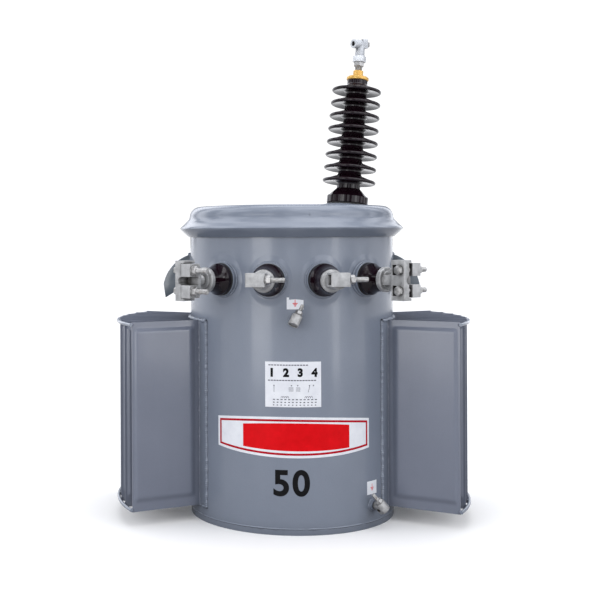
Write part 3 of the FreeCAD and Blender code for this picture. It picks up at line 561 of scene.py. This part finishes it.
GREY_INK = print_material("grey_ink", (0.07, 0.07, 0.10), (0.12, 0.12, 0.16), 0.5, 0.2)

FINISHES = {"tank_paint": PAINT, "porcelain": PORCELAIN, "gasket_rubber": RUBBER,
            "cap_brass": BRASS, "clamp_casting": CASTING, "terminal_casting": TERMINAL,
            "plated_steel": PLATED, "earth_fitting": EARTHING}


def finish_cad_nodes():
    """Give every CAD node the material of its slot."""
    for row in frame["record"]["subparts"]:
        node = frame["nodes"][row["node"]]
        node.data.materials.clear()
        node.data.materials.append(FINISHES[row["material_slot"]])


# ---- Bolts and nuts ----

def threaded_rod(form, matrix, radius, low, high, pitch):
    """Rod with a real helical thread and a chamfered far end."""
    steps = 24
    rings = int((high - low) / (pitch / 6))
    depth = 0.12 * radius
    end_radius = 0.82 * radius
    rows = []
    for j in range(rings + 1):
        height = low + (high - low) * j / rings
        row = []
        for i in range(steps):
            wave = abs(((height / pitch - i / steps) % 1.0) * 2 - 1)
            size = min(radius - depth * wave, end_radius + (high - height))
            row.append(at_turn(matrix, size, i / steps, height))
        rows.append(row)
    form.sheet(rows, closed=True, capped=True)


def hexagon_radius(flats, turn):
    """Distance from the middle to a hexagon's side, at a share of a turn."""
    return flats / 2 / math.cos((turn * math.tau + math.pi / 6) % (math.pi / 3) - math.pi / 6)


def hex_nut(form, matrix, flats, low, high):
    """Hexagon with turned chamfers on both faces."""
    steps = 60
    inner = 0.93 * flats / 2
    rows = []
    for level, inward, outside in ((low, 1, False), (low, 1, True), (high, -1, True),
                                   (high, -1, False)):
        row = []
        for i in range(steps):
            size = hexagon_radius(flats, i / steps) if outside else inner
            height = level + inward * max(0.0, size - inner) * 0.55
            row.append(at_turn(matrix, size, i / steps, height))
        rows.append(row)
    form.sheet(rows, closed=True, capped=True)


def washer(form, matrix, radius, low, high):
    """Flat disc with broken edges, whose hole the rod fills."""
    edge = 0.3 * MM
    form.turned([(radius - edge, low), (radius, low + edge), (radius, high - edge),
                 (radius - edge, high)], matrix)


def clamp_bolt(form, mount, span, headed):
    """One clamp bolt: its free thread is the mount, and the rest lies behind the nut."""
    axis = Vector(mount["axis"])
    free = mount["dims"]["length_mm"] * MM
    tip = Vector(mount["pos_m"]) + axis * (free / 2)
    matrix = facing(tip, axis)
    threaded_rod(form, matrix, BOLT_R, -span + 2 * MM, 0.0, BOLT_PITCH)
    hex_nut(form, matrix, NUT_FLATS, -free - NUT_THICK, -free)
    washer(form, matrix, WASHER_R, -free - NUT_THICK - WASHER_THICK, -free - NUT_THICK)
    if headed:
        hex_nut(form, matrix, NUT_FLATS, -span - NUT_THICK, -span)


def add_clamp_bolts():
    """Bolts of the low-voltage clamps: two headed ones outside, one stud inside."""
    for number in range(1, len(LV_AZIMUTHS) + 1):
        form = Form()
        outer = number in (1, len(LV_AZIMUTHS))
        for name, mount in MOUNTS.items():
            if name.startswith(f"lv_{number}_bolt"):
                clamp_bolt(form, mount, OUTER_BOLT_SPAN if outer else INNER_BOLT_SPAN, outer)
        form.piece(f"lv_{number}_threaded_bolts", PLATED, "plated_steel",
                   (f"lv_bolts_{number}",), 30.0)


def add_band_bolt():
    """Bolt through the clamp band's two ears, at the back."""
    low, high = (Vector(corner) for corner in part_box("clamp_band_bolt"))
    middle = (low + high) / 2
    matrix = facing(Vector((0, middle.y, middle.z)), (1, 0, 0))
    form = Form()
    threaded_rod(form, matrix, BAND_BOLT_R, -BAND_EAR_OUT, high.x, BAND_BOLT_PITCH)
    hex_nut(form, matrix, BAND_NUT_FLATS, low.x, -BAND_EAR_OUT)
    hex_nut(form, matrix, BAND_NUT_FLATS, BAND_EAR_OUT, BAND_EAR_OUT + BAND_NUT_THICK)
    form.piece("clamp_band_threaded_bolt", PLATED, "plated_steel", ("clamp_band_bolt",), 30.0)


def add_terminal_stud():
    """Threaded terminal stud with its lock nut."""
    form = Form()
    threaded_rod(form, hv_frame(), HV_STUD_R, HV_STUD_LOW, HV_STUD_HIGH, HV_STUD_PITCH)
    hex_nut(form, hv_frame(), HV_NUT_FLATS, HV_NUT_LOW, HV_NUT_HIGH)
    form.piece("hv_threaded_stud", PLATED, "plated_steel", ("hv_stud",), 30.0)


def earth_frame(azimuth, height, lean):
    """Middle of an earthing connector, with +Z along its stud."""
    turn = Matrix((outward_from(azimuth), around_at(azimuth), (0, 0, 1))).transposed().to_4x4()
    lean_over = Matrix.Rotation(-math.radians(lean), 4, "X")
    tilt_back = Matrix.Rotation(-EARTH_TILT, 4, "Y")
    return (Matrix.Translation(place(azimuth, EARTH_BODY_AT, height)) @ turn
            @ lean_over @ tilt_back)


def add_earth_threads():
    """Thread, nut and washer on each earthing connector's leaning stud."""
    for where, (azimuth, height, lean) in EARTHS.items():
        matrix = earth_frame(azimuth, height, lean)
        matrix = matrix @ Matrix.Translation((EARTH_STUD_SHIFT, 0, 0))
        form = Form()
        threaded_rod(form, matrix, EARTH_THREAD_R, EARTH_THREAD_LOW, EARTH_THREAD_HIGH,
                     EARTH_THREAD_PITCH)
        hex_nut(form, matrix, EARTH_NUT_FLATS, EARTH_NUT_LOW, EARTH_NUT_HIGH)
        washer(form, matrix, EARTH_WASHER_R, EARTH_WASHER_LOW, EARTH_WASHER_HIGH)
        form.piece(f"earth_{where}_thread", PLATED, "earth_fitting", (), 30.0)


# ---- Radiators ----

def pressed_height(x, z, seed):
    """Height of a fin's skin above its middle plane: flat borders, then a bevelled field."""
    inner = eased(x - STRIP_OUT, 10 * MM, 17 * MM)
    outer = eased(FIN_OUT - x, 5 * MM, 7 * MM)
    top = eased(FIN_HIGH - z, 14 * MM, 10 * MM)
    bottom = eased(z - FIN_LOW, 21 * MM, 13 * MM)
    pillow = FIN_PILLOW * noise.noise(Vector((x * 12, seed, z * 6)))
    return FIN_EDGE + inner * outer * top * bottom * (FIN_FIELD_RISE + pillow)


def pressed_fin(form, azimuth, seed):
    """One hollow fin: two pressed skins joined round a thin flange."""
    columns, rows = 46, 72
    start = STRIP_OUT - 1 * MM
    for face in (-1, 1):
        grid = []
        for j in range(rows + 1):
            z = FIN_LOW + (FIN_HIGH - FIN_LOW) * spread(j / rows)
            line = []
            for i in range(columns + 1):
                x = start + (FIN_OUT - start) * spread(i / columns)
                line.append(place(azimuth, x, z, face * pressed_height(x, z, seed)))
            grid.append(line)
        form.sheet(grid)
    edge = []
    for x, z in ((start, FIN_LOW), (FIN_OUT, FIN_LOW), (FIN_OUT, FIN_HIGH), (start, FIN_HIGH)):
        edge.append([place(azimuth, x, z, side * FIN_EDGE) for side in (-1, 1)])
    form.sheet(edge + edge[:1])


def spread(share):
    """Share of the way, with more steps near both ends."""
    return share - 0.11 * math.sin(math.tau * share)


def add_radiators():
    """Pressed fins, and the welds of the fins, of the tie rods and of the strips."""
    for name, side in (("left", -1), ("right", 1)):
        fins = Form()
        feet = Form()
        corners = Form()
        for i, azimuth in enumerate(FIN_AZIMUTHS):
            azimuth *= side
            pressed_fin(fins, azimuth, i * 3.1 + side)
            for face in (-1, 1):
                foot = azimuth + math.degrees(face * 1.8 * MM / STRIP_OUT)
                bead_up(feet, foot, STRIP_OUT, FIN_LOW + 2 * MM, FIN_HIGH - 2 * MM, FIN_WELD,
                        lean=face * WELD_LEAN, seed=i + face * 0.3, step=FIN_WELD_STEP)
            for height in (FIN_LOW + ROD_INSET, FIN_HIGH - ROD_INSET):
                corner = place(azimuth, FIN_OUT + 0.5 * MM, height)
                blob(corners, corner, ROD_WELD, i + height)
        fins.piece(f"radiator_{name}_pressed_fins", FIN_ENAMEL_PAINTED_SHADE, "tank_paint",
                   (f"radiator_{name}_fins",), 50.0)
        feet.piece(f"radiator_{name}_fin_welds", FIN_ENAMEL_PAINTED_SHADE, "tank_paint")
        corners.piece(f"radiator_{name}_rod_welds", FIN_ENAMEL_PAINTED_SHADE, "tank_paint", smooth_angle=80.0)
        strip = Form()
        middle = 90.0 * side
        ends = (middle - STRIP_HALF_ANGLE, middle + STRIP_HALF_ANGLE)
        for azimuth, lean in zip(ends, (-WELD_LEAN, WELD_LEAN)):
            bead_up(strip, azimuth, TANK_R + 1 * MM, FIN_LOW, FIN_HIGH, STRIP_SIDE_WELD,
                    lean=lean, seed=azimuth)
        for height, tilt in ((FIN_LOW, -WELD_LEAN), (FIN_HIGH, WELD_LEAN)):
            bead_round(strip, TANK_R + 1.5 * MM, height, *ends, STRIP_END_WELD, seed=height,
                       tilt=tilt)
        strip.piece(f"radiator_{name}_strip_welds", PAINT, "tank_paint")


def blob(form, middle, radius, seed):
    """Small lump of weld metal."""
    rings, steps = 6, 10
    rows = []
    for j in range(rings + 1):
        polar = math.pi * (0.02 + 0.96 * j / rings)
        row = []
        for i in range(steps):
            turn = math.tau * i / steps
            way = Vector((math.sin(polar) * math.cos(turn), math.sin(polar) * math.sin(turn),
                          math.cos(polar)))
            lump = 1 + 0.3 * noise.noise(way * 1.7 + Vector((seed, seed, 0)))
            row.append(middle + way * radius * lump)
        rows.append(row)
    form.sheet(rows, closed=True, capped=True)


# ---- Tank wall, welds, clamp band and lid ----

def wall_pull(azimuth, height):
    """How far the wall lies inside the true cylinder: drawn in by welding, wavy from rolling."""
    wave = noise.noise(Vector((azimuth * 0.045, height * 2.2, 0.4)))
    pull = WALL_WAVE * (1 + wave)
    for seat in LV_AZIMUTHS:
        across = math.radians(azimuth - seat) * TANK_R
        rise = height - LV_Z
        distance = math.hypot(across, rise * (SEAT_PULL_ABOVE if rise > 0 else SEAT_PULL_BELOW))
        clear_of_seat = eased(math.hypot(across, rise), SEAT_R, SEAT_FADE)
        pull += SEAT_PULL * clear_of_seat * math.exp(-(distance / SEAT_PULL_REACH) ** 2)
    return pull


def add_tank_wall():
    """Rolled wall, drawn in round the bushing seats."""
    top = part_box("tank_shell")[1][2]
    coarse, fine, steps = 36, 80, 400
    heights = [WALL_FINE_FROM * i / coarse for i in range(coarse)]
    heights += [WALL_FINE_FROM + (top - WALL_FINE_FROM) * i / fine for i in range(fine + 1)]
    azimuths = [360 * i / steps - 180 for i in range(steps)]

    def inside(height):
        return [place(azimuth, TANK_R - WALL_THICK, height) for azimuth in azimuths]

    outside = [[place(azimuth, TANK_R - wall_pull(azimuth, height), height)
                for azimuth in azimuths] for height in heights]
    form = Form()
    form.sheet([inside(0.0), *outside, inside(top), inside(0.0)], closed=True)
    form.piece("tank_wall", PAINT, "tank_paint", ("tank_shell",), 50.0)


def add_tank_welds():
    """Welds round the bosses, the seam above the base and the wall's upright seam."""
    form = Form()
    for azimuth in LV_AZIMUTHS:
        bead_ring(form, azimuth, LV_Z, SEAT_WELD_R, SEAT_WELD, seed=azimuth)
    for azimuth, height, _ in EARTHS.values():
        bead_ring(form, azimuth, height, EARTH_PAD_R, EARTH_PAD_WELD, seed=height)
    form.piece("boss_welds", PAINT, "tank_paint")
    seams = Form()
    bead_round(seams, TANK_R - 1.0 * MM, BASE_SEAM_Z, -180, 180, BASE_SEAM_WELD, seed=4.0)
    bead_up(seams, WALL_SEAM_AZIMUTH, TANK_R - 0.8 * MM, WALL_SEAM_LOW, WALL_SEAM_HIGH,
            WALL_SEAM_WELD, seed=9.0)
    seams.piece("tank_seams", PAINT, "tank_paint")


def add_lug_welds():
    """Welds of the lifting lugs and of the hanger brackets."""
    form = Form()
    for side, name in ((-1, "left"), (1, "right")):
        low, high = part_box(f"lifting_lug_{name}")
        half = (high[1] - low[1]) / 2
        for face in (-1, 1):
            azimuth = side * 90.0 + face * math.degrees(half / TANK_R)
            bead_up(form, azimuth, TANK_R, LUG_ROOT_Z - 2 * MM, high[2], LUG_WELD,
                    lean=face * WELD_LEAN, seed=side + face * 0.2)
        blob(form, place(side * 90.0, TANK_R + 2 * MM, high[2]), 5 * MM, side)
    for name in ("upper", "lower"):
        low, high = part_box(f"hanger_{name}")
        for face in (-1, 1):
            azimuth = 180.0 + face * math.degrees(math.asin(high[0] / TANK_R))
            bead_up(form, azimuth, TANK_R, low[2], high[2], HANGER_WELD, lean=face * 0.7,
                    seed=face + low[2])
    form.piece("lug_and_hanger_welds", PAINT, "tank_paint")


def add_band():
    """Rolled clamp band, open at the back between two ears; the outline is in mm."""
    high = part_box("clamp_band")[1]
    tip = high[0]
    outline = [(262, 703), (263.4, 702.2), (265.5, 703.6), (275, 712.2), (281.5, 718.2),
               (284.8, 721.6), (286, 724), (284.9, 726.4), (281.6, 729.6), (275.5, 734.6),
               (270.6, 739.8), (268.4, 743.0), (267.2, 743.2), (266.6, 742), (267, 739),
               (279, 725), (279, 723), (262, 706.5)]
    split = math.degrees(BAND_SPLIT_HALF / tip)
    steps = 220
    form = Form()
    rows = []
    for j in range(steps + 1):
        azimuth = -180 + split + (360 - 2 * split) * j / steps
        wave = 0.12 * MM * noise.noise(Vector((azimuth * 0.12, 1.7, 0.0)))
        row = []
        for radius, height in outline:
            row.append(place(azimuth, min(radius * MM + wave, tip), height * MM))
        rows.append(row)
    form.sheet(rows, closed=True, capped=True)
    for side in (-1, 1):
        left, right = sorted((side * BAND_EAR_IN, side * BAND_EAR_OUT))
        corners = [(x, y, BAND_MIDDLE_Z + z) for z in (-BAND_EAR_HALF_HIGH, BAND_EAR_HALF_HIGH)
                   for y in (tip - BAND_EAR_DEEP, high[1]) for x in (left, right)]
        form.add(corners, [(0, 1, 3, 2), (4, 6, 7, 5), (0, 4, 5, 1), (2, 3, 7, 6),
                           (0, 2, 6, 4), (1, 5, 7, 3)])
    form.piece("rolled_clamp_band", PAINT, "tank_paint", ("clamp_band",), 42.0)


def add_drip():
    """One dried run of paint on the lid's shoulder."""
    form = Form()
    top = place(7.5, 259.0 * MM, 762 * MM)
    for share, size in ((0.0, 1.0), (0.5, 1.4), (1.0, 2.0)):
        blob(form, top + Vector((0, -2.0 * MM * share, -7 * MM * share)), size * MM, share)
    form.piece("lid_paint_run", PAINT, "tank_paint", smooth_angle=80.0)


# ---- Labels ----

LABEL_R = TANK_R + 0.35 * MM
INK_LIFT = 0.12 * MM


def wrapped(u, v, radius):
    """Point on the tank: u metres round it from the front, v metres up."""
    azimuth = math.degrees(u / TANK_R)
    return place(azimuth, radius - wall_pull(azimuth, v), v)


def patch(form, left, low, right, high, radius):
    """Rectangle wrapped on the tank."""
    across = shares(left, right)
    form.sheet([[wrapped(u, v, radius) for u in across] for v in shares(low, high)])


def shares(start, finish):
    """Evenly spaced values between two ends, no more than 4 mm apart."""
    steps = int((finish - start) / (4 * MM)) + 1
    return [start + (finish - start) * i / steps for i in range(steps + 1)]


def film(form, left, low, right, high, radius):
    """Wrapped rectangle with its edges turned down to the tank."""
    patch(form, left, low, right, high, radius)
    for v in (low, high):
        form.sheet([[wrapped(u, v, r) for u in shares(left, right)] for r in (TANK_R, radius)])
    for u in (left, right):
        form.sheet([[wrapped(u, v, r) for v in shares(low, high)] for r in (TANK_R, radius)])


def stroke(form, points, width, radius):
    """Line of a given width through (u, v) points, wrapped on the tank."""
    for (u0, v0), (u1, v1) in zip(points, points[1:]):
        length = math.hypot(u1 - u0, v1 - v0)
        side_u, side_v = -(v1 - v0) / length * width / 2, (u1 - u0) / length * width / 2
        corners = [(u0 - side_u, v0 - side_v), (u1 - side_u, v1 - side_v),
                   (u1 + side_u, v1 + side_v), (u0 + side_u, v0 + side_v)]
        form.add([wrapped(u, v, radius) for u, v in corners], [(0, 1, 2, 3)])


def disc(form, u, v, size, radius):
    """Printed dot of a given size, wrapped on the tank."""
    count = 20
    rim = [(u + size * math.cos(math.tau * i / count), v + size * math.sin(math.tau * i / count))
           for i in range(count)]
    form.add([wrapped(a, b, radius) for a, b in rim], [tuple(range(count))])


def lettering(form, body, middle, low, high, bold, radius):
    """Plain figures wrapped on the tank, between two heights."""
    text = bpy.data.curves.new("figures", "FONT")
    text.body = body
    text.space_character = 1.12
    text.offset = bold
    text.resolution_u = 8
    source = bpy.data.objects.new("figures", text)
    bpy.context.scene.collection.objects.link(source)
    bpy.context.view_layer.update()
    depsgraph = bpy.context.evaluated_depsgraph_get()
    mesh = bpy.data.meshes.new_from_object(source.evaluated_get(depsgraph))
    bpy.data.objects.remove(source)
    flat = bmesh.new()
    flat.from_mesh(mesh)
    left = min(v.co.x for v in flat.verts)
    right = max(v.co.x for v in flat.verts)
    bottom = min(v.co.y for v in flat.verts)
    top = max(v.co.y for v in flat.verts)
    scale = (high - low) / (top - bottom)
    step = 3 * MM / scale
    cut = left + step
    while cut < right:
        geometry = flat.verts[:] + flat.edges[:] + flat.faces[:]
        bmesh.ops.bisect_plane(flat, geom=geometry, plane_co=(cut, 0, 0), plane_no=(1, 0, 0))
        cut += step
    flat.verts.index_update()
    points = []
    for vert in flat.verts:
        u = middle + (vert.co.x - (left + right) / 2) * scale
        points.append(wrapped(u, low + (vert.co.y - bottom) * scale, radius))
    form.add(points, [[v.index for v in face.verts] for face in flat.faces])
    flat.free()


def dashes(form, start, finish, v, high, length, gap, level):
    """Row of short marks that stands for a line of small print."""
    u = start
    while u + length <= finish:
        patch(form, u, v - high / 2, u + length, v + high / 2, level)
        u += length + gap


def add_diagram():
    """Wiring diagram: numbered terminals, a winding and its taps, with no words."""
    left, right = -73 * MM, 60 * MM
    low, high = 302 * MM, 409 * MM
    wide = right - left

    def across(share):
        return left + share * wide

    sheet = Form()
    film(sheet, left, low, right, high, LABEL_R)
    sheet.piece("diagram_label", WHITE_FILM)
    level = LABEL_R + INK_LIFT
    ink = Form()
    for number, share in enumerate((0.12, 0.375, 0.625, 0.88), start=1):
        lettering(ink, str(number), across(share), high - 36.0 * MM, high - 15.0 * MM, 0.06, level)
    ink.piece("diagram_numbers", BLACK_INK)
    lines = Form()
    thin = 1.0 * MM
    dashes(lines, across(0.06), across(0.78), high - 8 * MM, 2.4 * MM, 5.2 * MM, 1.6 * MM, level)
    dashes(lines, across(0.05), across(0.95), high - 44 * MM, 2.4 * MM, 5.2 * MM, 1.6 * MM, level)
    bus, tie = high - 71 * MM, high - 77 * MM
    stroke(lines, [(across(0.16), high - 56 * MM), (across(0.16), bus), (across(0.77), bus),
                   (across(0.79), high - 57 * MM)], thin, level)
    stroke(lines, [(across(0.17), tie), (across(0.94), tie)], thin, level)
    for share in (0.16, 0.47, 0.58, 0.79, 0.86):
        disc(lines, across(share), high - 56 * MM, 1.5 * MM, level)
    for start, finish in ((0.42, 0.505), (0.55, 0.625)):
        for k in range(4):
            v = high - (61 + 2.6 * k) * MM
            stroke(lines, [(across(start), v), (across(finish), v)], 0.9 * MM, level)
    for share in (0.30, 0.72):
        for k in range(4):
            stroke(lines, coil(across(share) + 4.6 * MM * k, tie - 9 * MM, 2.3 * MM), 0.9 * MM,
                   level)
    for row in range(3):
        v = low + (5 + 6.5 * row) * MM
        dashes(lines, across(0.14), across(0.95), v, 2.2 * MM, (3.0 + row) * MM,
               (6.0 - row) * MM, level)
    lines.piece("diagram_lines", GREY_INK)


def coil(u, v, size):
    """Half loop of a drawn winding."""
    return [(u + size * math.cos(math.pi * i / 8), v + 2.0 * size * math.sin(math.pi * i / 8))
            for i in range(9)]


def bowed(left, right, v_left, v_right, bow):
    """Height along a sloping edge that bows up (or down, below zero) in its middle."""
    def height(u):
        share = (u - left) / (right - left)
        return v_left + share * (v_right - v_left) + bow * 4 * share * (1 - share)
    return height


def bowed_patch(form, left, right, low, high, radius):
    """Area between two bowed edges, wrapped on the tank."""
    across = shares(left, right)
    rows = 16
    form.sheet([[wrapped(u, low(u) + (high(u) - low(u)) * k / rows, radius) for u in across]
                for k in range(rows + 1)])


def add_sign():
    """Sign panel with bowed edges, a red border and an empty red field."""
    left, right = -205 * MM, 196 * MM
    low = bowed(left, right, 199 * MM, 195.5 * MM, -15 * MM)
    high = bowed(left, right, 270 * MM, 266 * MM, 11 * MM)
    sheet = Form()
    bowed_patch(sheet, left, right, low, high, LABEL_R)
    for edge in (low, high):
        sheet.sheet([[wrapped(u, edge(u), r) for u in shares(left, right)]
                     for r in (TANK_R, LABEL_R)])
    sheet.piece("sign_panel", WHITE_FILM)
    level = LABEL_R + INK_LIFT
    inset, width = 6 * MM, 5 * MM
    frame_left, frame_right = left + inset, right - inset
    border = Form()
    bowed_patch(border, frame_left, frame_right, lambda u: low(u) + inset,
                lambda u: low(u) + inset + width, level)
    bowed_patch(border, frame_left, frame_right, lambda u: high(u) - inset - width,
                lambda u: high(u) - inset, level)
    for start in (frame_left, frame_right - width):
        bowed_patch(border, start, start + width, lambda u: low(u) + inset,
                    lambda u: high(u) - inset, level)
    border.piece("sign_border", DARK_RED_FILM)
    field = Form()
    field_left, field_right = -130 * MM, 133 * MM
    bowed_patch(field, field_left, field_right,
                bowed(field_left, field_right, 205 * MM, 202 * MM, -5 * MM),
                bowed(field_left, field_right, 258.5 * MM, 256 * MM, 7 * MM), level)
    field.piece("sign_field", RED_FILM)


def add_number():
    """Plain stencilled number."""
    form = Form()
    lettering(form, "50", -11 * MM, 92 * MM, 155 * MM, 0.027, LABEL_R)
    form.piece("tank_number", BLACK_INK)


def add_stickers():
    """Two small stickers with an earth mark, one by each earthing connector."""
    for name, u, v, half_wide, half_high in (("upper", -1 * MM, 546 * MM, 20 * MM, 14 * MM),
                                             ("lower", 207 * MM, 97 * MM, 18 * MM, 16 * MM)):
        sheet = Form()
        film(sheet, u - half_wide, v - half_high, u + half_wide, v + half_high, LABEL_R)
        sheet.piece(f"earth_sticker_{name}", WHITE_FILM)
        mark = Form()
        level = LABEL_R + INK_LIFT
        patch(mark, u - 0.8 * MM, v, u + 0.8 * MM, v + 9 * MM, level)
        for k, half in enumerate((6.0, 4.0, 2.0)):
            height = v - 3.0 * MM * k
            patch(mark, u - half * MM, height - 0.9 * MM, u + half * MM, height + 0.9 * MM, level)
        mark.piece(f"earth_mark_{name}", RED_FILM)


# ---- Camera, floor and light ----

CAMERA_AT = (-0.117, -2.797, 0.706)
CAMERA_HEADING = math.radians(2.49)
CAMERA_ROLL = math.radians(-0.25)
CAMERA_LENS = 64.62
CAMERA_SENSOR = 36.0
CAMERA_SHIFT = (0.169, -0.107)
FLOOR_SEEN = [(0.3, (0.93, 0.93, 0.935)), (0.7, (0.95, 0.95, 0.95))]
FLOOR_THROWN = (0.23, 0.23, 0.235)
FLOOR_MIRRORED = (0.40, 0.40, 0.41)
FLOOR_FADE = (2.0, 5.0)
WHITE = (1.0, 1.0, 1.0)
WORLD_STRENGTH = 1.15
SKY_STOPS = [(0.0, 0.92), (0.35, 1.0), (0.75, 1.1), (1.0, 1.15)]
STREAK_SCALE = 3.2
STREAK_STRETCH = (1.0, 1.0, 0.12)
STREAK_STOPS = [(0.42, 0.12), (0.60, 1.8)]


def add_camera():
    """Camera of the photo; the shift frames the object without turning the view."""
    data = bpy.data.cameras.new("camera")
    data.lens = CAMERA_LENS
    data.sensor_width = CAMERA_SENSOR
    data.shift_x, data.shift_y = CAMERA_SHIFT
    camera = bpy.data.objects.new("camera", data)
    turn = Matrix.Rotation(CAMERA_HEADING, 4, "Z") @ Matrix.Rotation(math.radians(90), 4, "X")
    roll = Matrix.Rotation(CAMERA_ROLL, 4, "Z")
    camera.matrix_world = Matrix.Translation(CAMERA_AT) @ turn @ roll
    bpy.context.scene.collection.objects.link(camera)
    bpy.context.scene.camera = camera


def add_floor():
    """Floor: pale to the eye, throws little light up; gloss sees it grey near by, white far off."""
    bpy.ops.mesh.primitive_plane_add(size=120)
    floor = bpy.context.object
    floor.name = "studio_floor"
    n = material_nodes("studio_floor")
    cloud = n.noise(1.5, 2.0, 0.5)
    rays = n.add("ShaderNodeLightPath").outputs
    away = n.add("ShaderNodeVectorMath", operation="LENGTH")
    n.join(n.place, away.inputs[0])
    far = n.level(away.outputs["Value"], 0.0, 1.0, *FLOOR_FADE)
    colour = n.mix(rays["Is Glossy Ray"], FLOOR_THROWN, n.mix(far, FLOOR_MIRRORED, WHITE))
    colour = n.mix(rays["Is Camera Ray"], colour, n.ramp(cloud, FLOOR_SEEN))
    floor.data.materials.append(n.finish(colour, n.level(cloud, 0.75, 0.85)))


def cool(stops):
    """Colour stops of a slightly cold grey from (position, value) pairs."""
    return [(position, (value * 0.99, value, value * 1.03)) for position, value in stops]


def add_world():
    """Surround: white to the eye, lights slightly more from above; gloss sees upright streaks."""
    world = bpy.data.worlds.new("studio")
    bpy.context.scene.world = world
    n = Nodes(world, "Generated")
    split = n.add("ShaderNodeSeparateXYZ")
    n.join(n.place, split.inputs["Vector"])
    sky = n.ramp(split.outputs["Z"], cool(SKY_STOPS))
    streaks = n.noise(STREAK_SCALE, 1.0, 0.5, n.stretched(STREAK_STRETCH))
    mirrored = n.mix(1.0, n.ramp(streaks, cool(STREAK_STOPS)), sky, "MULTIPLY")
    rays = n.add("ShaderNodeLightPath").outputs
    colour = n.mix(rays["Is Glossy Ray"], sky, mirrored)
    colour = n.mix(rays["Is Camera Ray"], colour, WHITE)
    background = n.tree.nodes["Background"].inputs
    background["Strength"].default_value = WORLD_STRENGTH
    n.join(colour, background["Color"])


def softbox(name, at, aim, size, power):
    """White rectangular lamp at a place, turned to a point, with its power in watts."""
    data = bpy.data.lights.new(name, "AREA")
    data.shape = "RECTANGLE"
    data.size, data.size_y = size
    data.energy = power
    light = bpy.data.objects.new(name, data)
    light.matrix_world = facing(Vector(at), Vector(at) - Vector(aim))
    bpy.context.scene.collection.objects.link(light)


def add_lights():
    """One lamp overhead and one on each side of the front."""
    bpy.context.scene.view_settings.view_transform = "Standard"
    softbox("overhead", (0.0, -0.4, 3.4), (0, 0, 0.6), (3.2, 3.2), 24)
    softbox("left_strip", (-1.8, -2.7, 0.7), (0, 0, 0.2), (1.2, 2.0), 20)
    softbox("right_strip", (2.3, -2.2, 0.9), (0, 0, 0.3), (0.45, 2.2), 8)


finish_cad_nodes()
for clamp in range(1, len(LV_AZIMUTHS) + 1):
    softened(f"lv_clamp_{clamp}", CASTING, 1.6 * MM, 3, dent=0.35 * MM)
softened("hv_terminal", TERMINAL, 0.9 * MM)
softened("hv_terminal_screw", PLATED, 0.6 * MM)
softened("hv_cap", BRASS, 0.8 * MM)
for side_name in ("left", "right"):
    softened(f"lifting_lug_{side_name}", LUG_ENAMEL_PAINTED_SHADE, 1.0 * MM)
    softened(f"radiator_{side_name}_strip", PAINT, 0.8 * MM)
for level_name in ("upper", "lower"):
    softened(f"hanger_{level_name}", PAINT, 1.5 * MM)
    softened(f"earth_clamp_{level_name}", EARTHING, 1.0 * MM, dent=0.3 * MM)
add_clamp_bolts()
add_band_bolt()
add_terminal_stud()
add_earth_threads()
add_radiators()
add_tank_wall()
add_tank_welds()
add_lug_welds()
add_band()
add_drip()
add_diagram()
add_sign()
add_number()
add_stickers()
add_camera()
add_floor()
add_world()
add_lights()
